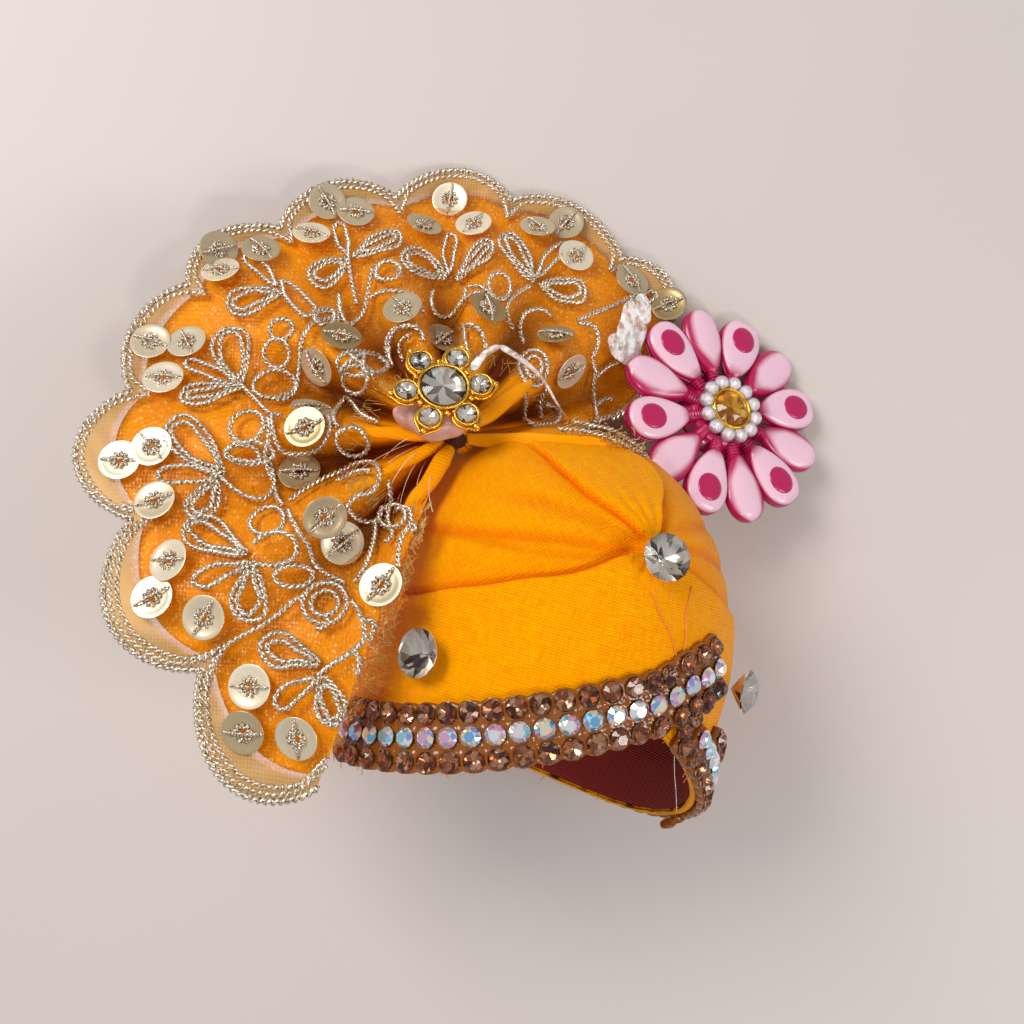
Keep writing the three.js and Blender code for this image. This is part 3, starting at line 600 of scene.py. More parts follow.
# Columns: side, path of its middle row, and how many stones each row leaves out at its start
trim_lengths = (
    ("right", along_rim((-98, -85, -72, -60, -48, -36, -24, -12, -3)) + [(6, 2.6), (15, 4.6), (25, 7.1)],
     (0, 0, 0)),
    ("left", along_rim((4, 12, 22, 34, 48, 62, 76, 90, 104, 117)), (1, 2, 4)),
)
steps_per_stone = 9
for side, path, row_starts in trim_lengths:
    count, at = trim_places(path)
    long_steps, wide_steps = count * steps_per_stone + 1, 3 * steps_per_stone + 1
    i, j = np.meshgrid(np.arange(long_steps), np.arange(wide_steps), indexing="ij")
    along, across = i.ravel() / steps_per_stone, j.ravel() / steps_per_stone
    to_middle = np.hypot(along - np.floor(along) - 0.5, across - np.floor(across) - 0.5) * trim_pitch
    cup = np.exp(-((to_middle - 1.24) / 0.12) ** 2)
    rise = np.where(to_middle < 1.1, 0.4, 0.42 + 0.36 * cup)
    pinch = 0.09 * (1 - np.sin(np.pi * (along - np.floor(along)))) ** 1.5
    across = 1.5 + (across - 1.5) * (1 - pinch * (np.abs(across - 1.5) / 1.5) ** 3)
    quads = grid_faces(long_steps, wide_steps)
    cell_along = quads[:, 0] // wide_steps // steps_per_stone
    cell_across = quads[:, 0] % wide_steps // steps_per_stone
    quads = quads[cell_along >= np.array(row_starts)[cell_across]]
    points, faces, used = thicken(at(along, across, rise), at(along, across, -0.2), quads)
    strip = build("amber_strip_" + side, points, faces, amber_resin)
    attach(strip, "root")
    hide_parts("rim_band_" + side)
    for row in range(3):
        steps = np.arange(row_starts[row], count) + 0.5
        spots = at(steps, np.full(len(steps), row + 0.5), 0.86)
        normals = np.cross(at(steps + 0.1, np.full(len(steps), row + 0.5), 0.86) - spots,
                           at(steps, np.full(len(steps), row + 0.6), 0.86) - spots)
        normals /= np.linalg.norm(normals, axis=1)[:, None]
        middle_row = row == 1
        trim_rows.setdefault(middle_row, []).extend(zip(spots, normals))
# Single stones close the gap between the two lengths, by the front peak. Columns: turn, height
for turn, height in ((8.6, -2.6), (11.6, -0.9), (15.3, 0.9), (19.4, 2.4)):
    turn = np.radians(turn)
    normal = on_cap(turn, height, 1.0) - on_cap(turn, height, 0.0)
    trim_rows[False].append((from_cap(on_cap(turn, height, 0.95)), normal @ cap_axes))
small_cut = brilliant(6, trim_stone, 0.62, 0.52, 0.5)
set_stones("topaz_stones", small_cut, trim_rows[False], topaz_glass, topaz_foil, 3)
set_stones("aurora_stones", small_cut, trim_rows[True], aurora_glass, aurora_foil, 4)


# Three larger clear stones with pointed, foiled backs, each glued on the silk at one point. The front one
# covers the spot where the folds meet.
clear_glass = stone_glass("clear_lead_glass", "#f6f8f8")
# Its tones, facet by facet from near black to white, are painted reflections and glints
silver_foil = stone_foil("silver_foil", ((0.0, "#3c302a"), (0.14, "#a09488"), (0.3, "#ece4da"),
                                         (0.5, "#fffaf2"), (0.9, "#d8c8b4")), 0.24, 0.62)
large_cut = brilliant(8, 2.75, 1.05, 0.58, 2.0)
for name, turn, height, lean in (("chaton_front", -12, 14.6, 0.5), ("chaton_right", -71, -2.4, 0.0),
                                 ("chaton_left", 44, 3.0, 0.22)):
    turn = np.radians(turn)
    slope = radius_at(turn, height - 0.5) - radius_at(turn, height + 0.5)
    normal = np.array((np.cos(turn), np.sin(turn), slope))
    normal /= np.linalg.norm(normal)
    tip = from_cap(on_cap(turn, height) + normal * 0.45)
    facing = normal @ cap_axes + np.array((0.0, 0.0, lean))
    facing /= np.linalg.norm(facing)
    chaton = set_stones(name + "_stone", large_cut, [(tip + facing * 2.0, facing)], clear_glass, silver_foil,
                        int(height * 10) + 40)
    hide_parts(name)


# The fan: orange satin, pleated by hand, tied at one end and glued up over the crown's far side.
fan_neck = np.array((-1.72, 5.078, 28.5))
neck_reach = 2.4
fan_start, fan_end = 9, 250
# Columns: direction in degrees, reach, height of the edge, lift of the middle. Ridges and valleys in turn
fan_folds = np.array((
    (9, 20.0, 10.5, -1.5), (21, 27.5, 4.6, -1.5), (38, 33.5, 2.4, -0.5), (59, 34, 1.4, 0.5),
    (80, 35, 0.4, 0.5), (96, 35.3, 1, 0.5), (111, 35.8, 4.2, 0.5), (128, 37, 9.6, 0.5),
    (145, 39.4, 14.6, 0.5),
    (161, 39.9, 19.6, 0.5), (178, 39.6, 25.4, 1), (194, 38.2, 31, 1.5), (210, 37.6, 35.4, 3),
    (229, 38.2, 37.6, 5), (250, 41, 40.6, 5)))
pleat_depths = np.array(((0, 0.4), (0.2, 2.3), (0.4, 2.8), (0.6, 2.0), (0.8, 0.9), (1, 0.4)))
# Columns: direction where a scallop starts, and how far it bulges before the next one
scallops = np.array(((9, 1.6), (24, 3), (50, 3), (79, 3.8), (105, 3.8), (130, 3), (150, 3.2), (172, 5.8),
                     (195, 6.2), (224, 6.6), (250, 0)))


def read(x, rows, column):
    """Reads a column of a table at x, with an easy curve through its rows"""
    keys, values = rows[:, 0], rows[:, column]
    slopes = np.gradient(values, keys)
    i = np.clip(np.searchsorted(keys, x) - 1, 0, len(keys) - 2)
    width = keys[i + 1] - keys[i]
    t = np.clip((x - keys[i]) / width, 0, 1)
    return ((1 + 2 * t) * (1 - t) ** 2 * values[i] + t * (1 - t) ** 2 * width * slopes[i]
            + t * t * (3 - 2 * t) * values[i + 1] + t * t * (t - 1) * width * slopes[i + 1])


def cap_top(x, y, margin):
    """Height of the cap's upper side above a spot on the floor, or a low value beside the cap"""
    def inside(z):
        local = to_cap(np.stack((x, y, z), -1))
        turn = np.arctan2(local[..., 1], local[..., 0])
        near = np.hypot(local[..., 0], local[..., 1]) < radius_at(turn, local[..., 2]) + margin
        return near & (local[..., 2] < crown_height)

    low = np.full(x.shape, -50.0)
    for level in np.arange(50, 19, -1.0):
        hit = inside(np.full(x.shape, level)) & (low < 0)
        low[hit] = level
    found = low > 0
    high = low + 1.0
    for halving in range(10):
        middle = (low + high) / 2
        within = inside(middle)
        low = np.where(within & found, middle, low)
        high = np.where(within, high, middle)
    return low


def fan_point(direction, distance, above):
    """A point over the satin, from its direction in degrees and its distance from the tie"""
    reach = read(direction, fan_folds, 1)
    share = np.clip((distance - neck_reach) / (reach - neck_reach), 0, 1)
    x = fan_neck[0] + distance * np.cos(np.radians(direction))
    y = fan_neck[1] + distance * np.sin(np.radians(direction))
    phase = np.interp(direction, fan_folds[:, 0], np.arange(len(fan_folds)))
    z = fan_neck[2] + (read(direction, fan_folds, 2) - fan_neck[2]) * share
    z = z + 4 * read(direction, fan_folds, 3) * share * (1 - share)
    z = z + read(share, pleat_depths, 1) * np.cos(phase * np.pi)
    over = np.clip((direction - 160) / 20, 0, 1)
    lifted = np.maximum(z, cap_top(x, y, 1.6) + 2.2)
    z = z + (lifted - z) * over * (direction > 165)
    return np.stack((x, y, z + above), -1)


def border_reach(direction):
    """How far from the tie the scalloped edge lies in a direction"""
    at = np.clip(np.searchsorted(scallops[:, 0], direction) - 1, 0, len(scallops) - 2)
    low, high = scallops[at], scallops[at + 1]
    share = np.clip((direction - low[:, 0]) / (high[:, 0] - low[:, 0]), 0, 1)
    return read(direction, fan_folds, 1) + low[:, 1] * np.sin(share * np.pi) ** 0.75


satin_columns, satin_rows = 440, 96
direction = np.repeat(np.linspace(fan_start, fan_end, satin_columns), satin_rows)
share = np.tile(np.linspace(0, 1, satin_rows) ** 1.15, satin_columns)
reach = read(direction, fan_folds, 1)
distance = neck_reach + (0.5 * (reach + border_reach(direction)) - 0.9 - neck_reach) * share
satin_points = fan_point(direction, distance, 0.0)
# Small creases between the main pleats run out from the tie and die away
crinkle = (0.34 * np.sin(np.radians(direction) * 21 + 1.3 * np.sin(np.radians(direction) * 5))
           + 0.22 * np.sin(np.radians(direction) * 37 + 0.7) + 0.10 * np.sin(np.radians(direction) * 71))
crinkle_fade = np.exp(-((share - 0.16) / 0.26) ** 2) + 0.20 * np.sin(np.pi * np.clip(share, 0, 1))
satin_points[:, 2] += crinkle * crinkle_fade
quads = grid_faces(satin_columns, satin_rows, flip=True)
points, faces, used = thicken(satin_points, satin_points - np.array((0, 0, 0.3)), quads)

# Polyester satin: its floats run along the pleats. Lighter streaks along them are painted sheen, and the
# valleys are painted deep amber as shade.
orange_satin, tree, shader = new_finish("orange_satin",
                                        {"Roughness": 0.38, "IOR": 1.5, "Anisotropic": 0.5,
                                         "Sheen Weight": 0.12, "Sheen Roughness": 0.35,
                                         "Sheen Tint": "#ffb050", "Specular Tint": "#ffc060"})
thread_map = add_node(tree, "UVMap", {}, uv_map="threads")
streak_map = add_node(tree, "Mapping", {"Vector": thread_map, "Scale": (2.2, 0.09, 1.0)})
sheen_streak = add_node(tree, "TexNoise", {"Vector": streak_map, "Scale": 1.0, "Detail": 5.0, "Roughness": 0.7})
floats_map = add_node(tree, "Mapping", {"Vector": thread_map, "Scale": (9.0, 0.7, 1.0)})
floats = add_node(tree, "TexNoise", {"Vector": floats_map, "Scale": 1.0, "Detail": 2.0})
twill_map = add_node(tree, "Mapping", {"Vector": thread_map, "Rotation": (0, 0, np.radians(40)),
                                       "Scale": (1 / 0.32, 1, 1)})
twill_split = add_node(tree, "SeparateXYZ", {"Vector": twill_map})
twill_phase = add_node(tree, "Math", {0: twill_split.outputs["X"], 1: 2 * np.pi}, operation="MULTIPLY")
twill = add_node(tree, "Math", {0: twill_phase}, operation="SINE")
satin_height = add_node(tree, "Math", {0: twill, 1: 0.3, 2: floats}, operation="MULTIPLY_ADD")
bump = add_node(tree, "Bump", {"Height": satin_height, "Strength": 0.7, "Distance": 0.00007})
feed(shader, {"Normal": bump})
valley_shade = add_node(tree, "Attribute", {}, attribute_name="valley_shade")
# Painted sheen: paler orange streaks along the floats
painted_sheen_tone = add_node(tree, "Mix", {"Factor": sheen_streak, "A": "#ff8e00", "B": "#ffb400"}, data_type="RGBA")
# Painted shade: the valleys are mixed towards deep amber
satin_tone = add_node(tree, "Mix", {"Factor": valley_shade.outputs["Fac"], "A": painted_sheen_tone, "B": "#843200"},
                      data_type="RGBA")
feed(shader, {"Base Color": satin_tone})
satin = build("satin_fan", points, faces, orange_satin)
phase = np.interp(direction, fan_folds[:, 0], np.arange(len(fan_folds)))
# How much painted shade each point gets: most in the valleys near the tie
valley_shade_amount = np.clip(0.25 - np.cos(phase * np.pi), 0, 1) * np.exp(-((share - 0.24) / 0.30) ** 2)
set_point_value(satin, "valley_shade", np.concatenate((valley_shade_amount[used], valley_shade_amount[used])))
across, along = np.radians(direction[used]) * 22.0, distance[used]
set_threads(satin, np.concatenate((across, across)), np.concatenate((along, along)))
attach(satin, "root")
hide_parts("fan_satin")


# The net over the satin: gold tulle, so thin that the orange shows through, scalloped at its outer edge.
# It is free at the tie end, where its cut edge frays, and the embroidery is worked on it.
def on_net(x, y, above):
    """A point over the fan above a spot in plan"""
    direction = np.degrees(np.arctan2(y - fan_neck[1], x - fan_neck[0])) % 360
    distance = np.hypot(x - fan_neck[0], y - fan_neck[1])
    return fan_point(np.clip(direction, fan_start, fan_end), distance, above)


net_columns, net_rows = 640, 72
spread = np.repeat(np.linspace(0, 1, net_columns), net_rows)
share = np.tile(np.linspace(0, 1, net_rows), net_columns)
# Past the satin's last edge the net hangs over by a millimetre or two, ragged
ragged = 1 + 0.30 * np.sin(share * 23) + 0.20 * np.sin(share * 61 + 1) + 0.12 * np.sin(share * 143)
overhang = 4.5 * np.sin(np.pi * np.clip((share + 0.05) / 0.95, 0, 1)) ** 0.7 * ragged
direction = fan_start + (fan_end - fan_start + overhang) * spread
inner_reach = (11.0 + 1.6 * np.cos(np.radians(direction * 2 - 40)) + 0.5 * np.sin(np.radians(direction * 9))
               + 0.25 * np.sin(np.radians(direction * 31)))
inner_reach -= 1.8 * np.clip((direction - 225) / 25, 0, 1)
distance = inner_reach + (border_reach(direction) - inner_reach) * share


def net_place(direction, distance, above):
    """A point of the net, which sinks on to the silk past the satin's edge"""
    past = np.clip((direction - fan_end) * np.radians(1) * distance / 4.5, 0, 1)
    points = fan_point(direction, distance, above)
    points[..., 2] -= 4.3 * past * past * (3 - 2 * past)
    return points


net_points = net_place(direction, distance, 1.5)
wobble = 0.16 * np.sin(np.radians(direction) * 19 + distance * 0.9) + 0.1 * np.sin(distance * 1.7 + direction)
net_points[:, 2] += wobble * (1 - share ** 4)
gold_tulle, tree, shader = new_finish("gold_tulle", {"Metallic": 0.2, "Roughness": 0.45, "IOR": 1.5})
thread_map = add_node(tree, "UVMap", {}, uv_map="threads")
split = add_node(tree, "SeparateXYZ", {"Vector": thread_map})
# Real tulle has threads 0.25 mm apart; they are drawn at 0.42 mm
lines = []
for axis in "XY":
    scaled = add_node(tree, "Math", {0: split.outputs[axis], 1: np.pi / 0.42}, operation="MULTIPLY")
    wave = add_node(tree, "Math", {0: scaled}, operation="SINE")
    lines.append(add_node(tree, "Math", {0: wave}, operation="ABSOLUTE"))
crossing = add_node(tree, "Math", {0: lines[0], 1: lines[1]}, operation="MINIMUM")
thread = add_node(tree, "MapRange", {"Value": crossing, "From Min": 0.25, "From Max": 0.6, "To Min": 0.42,
                                     "To Max": 0.12})
patch = add_node(tree, "TexNoise", {"Vector": thread_map, "Scale": 0.35, "Detail": 3.0})
patch_range = add_node(tree, "MapRange", {"Value": patch, "From Min": 0.35, "From Max": 0.65,
                                          "To Min": -0.08, "To Max": 0.12})
thin_cover = add_node(tree, "Math", {0: thread, 1: patch_range}, operation="ADD")
past_satin_edge = add_node(tree, "Attribute", {}, attribute_name="past_satin_edge")
cover = add_node(tree, "Math", {0: past_satin_edge.outputs["Fac"], 1: 0.62, 2: thin_cover},
                 operation="MULTIPLY_ADD")
feed(shader, {"Alpha": cover})
# Gold flecks: each cell of the threads gets a random tone, and the brightest are painted glints
snapped = add_node(tree, "VectorMath", {0: thread_map, 1: (0.21, 0.21, 0.21)}, operation="SNAP")
fleck = add_node(tree, "TexWhiteNoise", {"Vector": snapped})
fleck_and_glint_tone = ramp(tree, fleck, ((0.0, "#d47404"), (0.5, "#f08c04"), (0.8, "#f8ac24"), (0.95, "#ffe8a0")))
edge_tone = add_node(tree, "Mix", {"Factor": past_satin_edge.outputs["Fac"], "A": fleck_and_glint_tone, "B": "#b98a42"},
                     data_type="RGBA")
valley_shade = add_node(tree, "Attribute", {}, attribute_name="valley_shade")
# Painted shade: the net over the valleys is mixed towards dark brown
net_tone = add_node(tree, "Mix", {"Factor": valley_shade.outputs["Fac"], "A": edge_tone, "B": "#7a4208"},
                    data_type="RGBA")
feed(shader, {"Base Color": net_tone})
net = build("gold_net", net_points, grid_faces(net_columns, net_rows, flip=True), gold_tulle)
set_threads(net, net_points[:, 0], net_points[:, 1] + 0.35 * net_points[:, 2])
# Beyond the satin's edge the net is drawn denser and tan
satin_edge = 0.5 * (read(direction, fan_folds, 1) + border_reach(direction)) - 0.9
phase = np.interp(direction, fan_folds[:, 0], np.arange(len(fan_folds)))
# Painted shade for the net over the valleys near the tie
set_point_value(net, "valley_shade", np.clip(0.1 - np.cos(phase * np.pi), 0, 1)
                * np.exp(-((distance - 12) / 9) ** 2))
set_point_value(net, "past_satin_edge", np.clip((distance - satin_edge + 0.1) / 0.5, 0, 1))
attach(net, "root")
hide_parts("fan_lace")


def tube_faces(rings, sides):
    """Faces round a row of rings of points, with both ends closed"""
    faces = []
    for i in range(rings - 1):
        for j in range(sides):
            k = (j + 1) % sides
            faces.append((i * sides + j, i * sides + k, (i + 1) * sides + k, (i + 1) * sides + j))
    faces.append(tuple(reversed(range(sides))))
    faces.append(tuple((rings - 1) * sides + j for j in range(sides)))
    return faces


def strand(points, radius, sides=4):
    """A single thread along points in millimetres: mesh points and faces"""
    line = through(points, 0.35)
    run = np.gradient(line, axis=0)
    run /= np.linalg.norm(run, axis=1)[:, None] + 1e-9
    side = np.cross(run, np.array((0.1, 0.2, 0.97)))
    side /= np.linalg.norm(side, axis=1)[:, None] + 1e-9
    over = np.cross(side, run)
    ring = 2 * np.pi * np.arange(sides) / sides
    shell = line[:, None] + radius * (np.cos(ring)[None, :, None] * side[:, None]
                                      + np.sin(ring)[None, :, None] * over[:, None])
    return shell.reshape(-1, 3), tube_faces(len(line), sides)


def bundle(name, groups, material):
    """One mesh object of many (points, faces) groups"""
    every_point, every_face, first = [], [], 0
    for points, faces in groups:
        every_point.append(points)
        every_face += [tuple(first + v for v in face) for face in faces]
        first += len(points)
    piece = build(name, np.vstack(every_point), every_face, material)
    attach(piece, "root")
    return piece


spin = random.Random(7)
frayed = []
for k in range(150):
    start = spin.uniform(12, 248)
    inner = 11.0 + 1.6 * np.cos(np.radians(start * 2 - 40)) - 1.8 * np.clip((start - 225) / 25, 0, 1)
    run = np.linspace(0.6, -spin.uniform(0.5, 2.2), 5)
    sway = np.linspace(0, spin.gauss(0, 5), 5)
    frayed.append(strand(fan_point(np.clip(start + sway, fan_start, fan_end), inner + run, 1.5)
                         + np.array([(0, 0, spin.uniform(-0.2, 0.5)) for step in run]), 0.055))
for k in range(110):
    along = spin.uniform(9, 30)
    edge = 254.0
    run = np.linspace(-2.0, spin.uniform(0.0, 2.6), 5)
    sway = np.linspace(0, spin.gauss(0, 1.2), 5)
    frayed.append(strand(net_place(edge + run, along + sway, 1.45), 0.055))
brass_thread, tree, shader = new_finish("brass_thread", {"Metallic": 0.4, "Roughness": 0.4})
mottle = add_node(tree, "TexNoise", {"Scale": 1500.0})
thread_tone = add_node(tree, "Mix", {"Factor": mottle, "A": "#a86814", "B": "#ecc880"}, data_type="RGBA")
feed(shader, {"Base Color": thread_tone})
bundle("frayed_net_threads", frayed, brass_thread)


# The twisted cords of silver-gold wire thread: two plies round each other, stitched on the net. Pairs of
# them run along the scallops; thinner ones are looped into leaves, rings and stems.
def twist(points, ply, offset, lay, sides=5, phase=0.0):
    """Two plies twisted round a line of points in millimetres: mesh points and faces"""
    line = through(points, lay / 7)
    run = np.gradient(line, axis=0)
    run /= np.linalg.norm(run, axis=1)[:, None] + 1e-9
    side = np.cross(run, np.array((0, 0, 1.0)))
    side /= np.linalg.norm(side, axis=1)[:, None] + 1e-9
    over = np.cross(side, run)
    length = np.concatenate(([0.0], np.cumsum(np.linalg.norm(np.diff(line, axis=0), axis=1))))
    every_point, every_face = [], []
    ring = 2 * np.pi * np.arange(sides) / sides
    for start in (0, np.pi):
        angle = 2 * np.pi * length / lay + start + phase
        middle = line + offset * (np.cos(angle)[:, None] * side + np.sin(angle)[:, None] * over)
        tube = (middle[:, None] + ply * (np.cos(ring)[None, :, None] * side[:, None]
                                         + np.sin(ring)[None, :, None] * over[:, None]))
        first = sum(len(p) for p in every_point)
        every_point.append(tube.reshape(-1, 3))
        every_face += [tuple(first + v for v in face) for face in tube_faces(len(line), sides)]
    return np.vstack(every_point), every_face


# Zari: thin metal strip wound on thread. Its colour follows fine noise: dull gold is painted shade in the
# grooves, and near-white marks are painted glints on the turns.
zari_thread, tree, shader = new_finish("zari_metal_thread",
                                       {"Metallic": 0.7, "Roughness": 0.3, "Specular IOR Level": 0.6})
place = add_node(tree, "NewGeometry", {})
glint = add_node(tree, "TexNoise", {"Vector": place, "Scale": 3600.0, "Detail": 2.0})
# Painted light: dark gold for shade in the grooves, near-white for glints
zari_glint_and_shade_tone = ramp(tree, glint, ((0.38, "#a08a64"), (0.62, "#fff6ea")), "LINEAR")
feed(shader, {"Base Color": zari_glint_and_shade_tone})
bump = add_node(tree, "Bump", {"Height": glint, "Strength": 0.7, "Distance": 0.00008})
feed(shader, {"Normal": bump})

edge_direction = np.linspace(fan_start, fan_end, 700)
border = []
notch = np.min(np.abs(edge_direction[:, None] - scallops[None, :, 0]), axis=1)
for out, ply, dip in ((0.42, 0.25, 0.0), (-0.42, 0.24, 1.7)):
    reach = border_reach(edge_direction) + out - dip * np.exp(-(notch / 1.5) ** 2)
    border.append(twist(fan_point(edge_direction, reach, 1.35 + 0.1 * (out > 0)), ply, 0.22, 1.7, 6))
low_left = edge_direction > 192
reach = border_reach(edge_direction) - 1.3 - 1.7 * np.exp(-(notch / 1.6) ** 2)
border.append(twist(fan_point(edge_direction, reach, 1.45)[low_left], 0.2, 0.2, 1.6, 6))
border_cords = bundle("scallop_cords", border, zari_thread)
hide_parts("fan_border_cord")

# Leaf loops. Columns: stalk x, y, tip x, y, width, how many cords lie side by side
leaves = (
    (-24.2, 23.7, -30.7, 21.8, 4.2, 2), (-24.6, 25.7, -19.8, 20.4, 2.4, 1),
    (-24.8, 24.7, -29.5, 29.5, 1.7, 1), (-15.7, 29.6, -9.9, 33.3, 3.3, 2),
    (-16.6, 29.1, -20.8, 25.9, 4.4, 2), (-16.6, 29.8, -18.4, 34.7, 1.9, 1),
    (-28.5, 11.5, -30.6, 18.9, 5.1, 2), (-28.1, 11.2, -35.0, 9.7, 3.0, 2),
    (-28.1, 11.5, -35.4, 14.6, 1.7, 1), (-28.7, 0.5, -35.5, 6.7, 5.0, 2),
    (-29.3, -0.5, -31.7, -4.8, 4.1, 2), (-29.1, 0.1, -36.5, 0.4, 2.4, 1),
    (-24.3, -8.7, -32.4, -5.5, 4.0, 2), (-23.6, -10.0, -24.1, -16.1, 4.3, 2),
    (-23.8, -9.7, -30.5, -12.0, 2.1, 1), (-15.8, -20.4, -22.5, -18.8, 3.9, 2),
    (-15.4, -21.8, -13.3, -26.9, 3.8, 2), (-15.9, -22.0, -20.7, -25.2, 2.3, 1),
    (-3.7, 27.1, -9.1, 30.4, 4.3, 2), (-2.1, 26.6, 2.3, 32.5, 2.9, 2), (-3.4, 27.6, -3.3, 34.0, 1.9, 1),
    (8.0, 26.8, 4.1, 33.9, 3.5, 2), (8.9, 26.3, 15.1, 25.6, 4.4, 2), (8.3, 27.5, 12.1, 33.1, 1.8, 1),
    (21.5, 25.3, 25.4, 26.3, 1.4, 1),
)
# Ring loops. Columns: middle x, y, half widths along x and y
rings = (
    (-23.3, 18.4, 1.5, 1.3), (-23.9, 15.5, 1.7, 1.7), (-24.1, 11.6, 2.5, 1.9), (-26.0, 5.9, 2.1, 1.9),
    (-11.0, 27.1, 1.7, 1.5), (-18.1, 20.2, 1.3, 1.1), (-12.9, 13.8, 2.8, 1.7), (-13.6, 11.8, 1.7, 1.6),
    (-13.5, 4.1, 1.8, 1.6), (-25.6, 2.8, 2.9, 1.3), (-22.3, -5.1, 2.1, 1.5), (-15.5, -14.2, 2.6, 2.2),
    (-15.5, -14.2, 1.6, 1.3), (-19.1, -11.2, 2.0, 1.2), (-8.5, -4.6, 1.6, 1.3), (-11.0, 27.1, 1.5, 1.5),
    (3.5, 25.3, 1.4, 2.0), (7.8, 14.0, 1.8, 2.4), (7.8, 14.0, 1.0, 1.4),
)
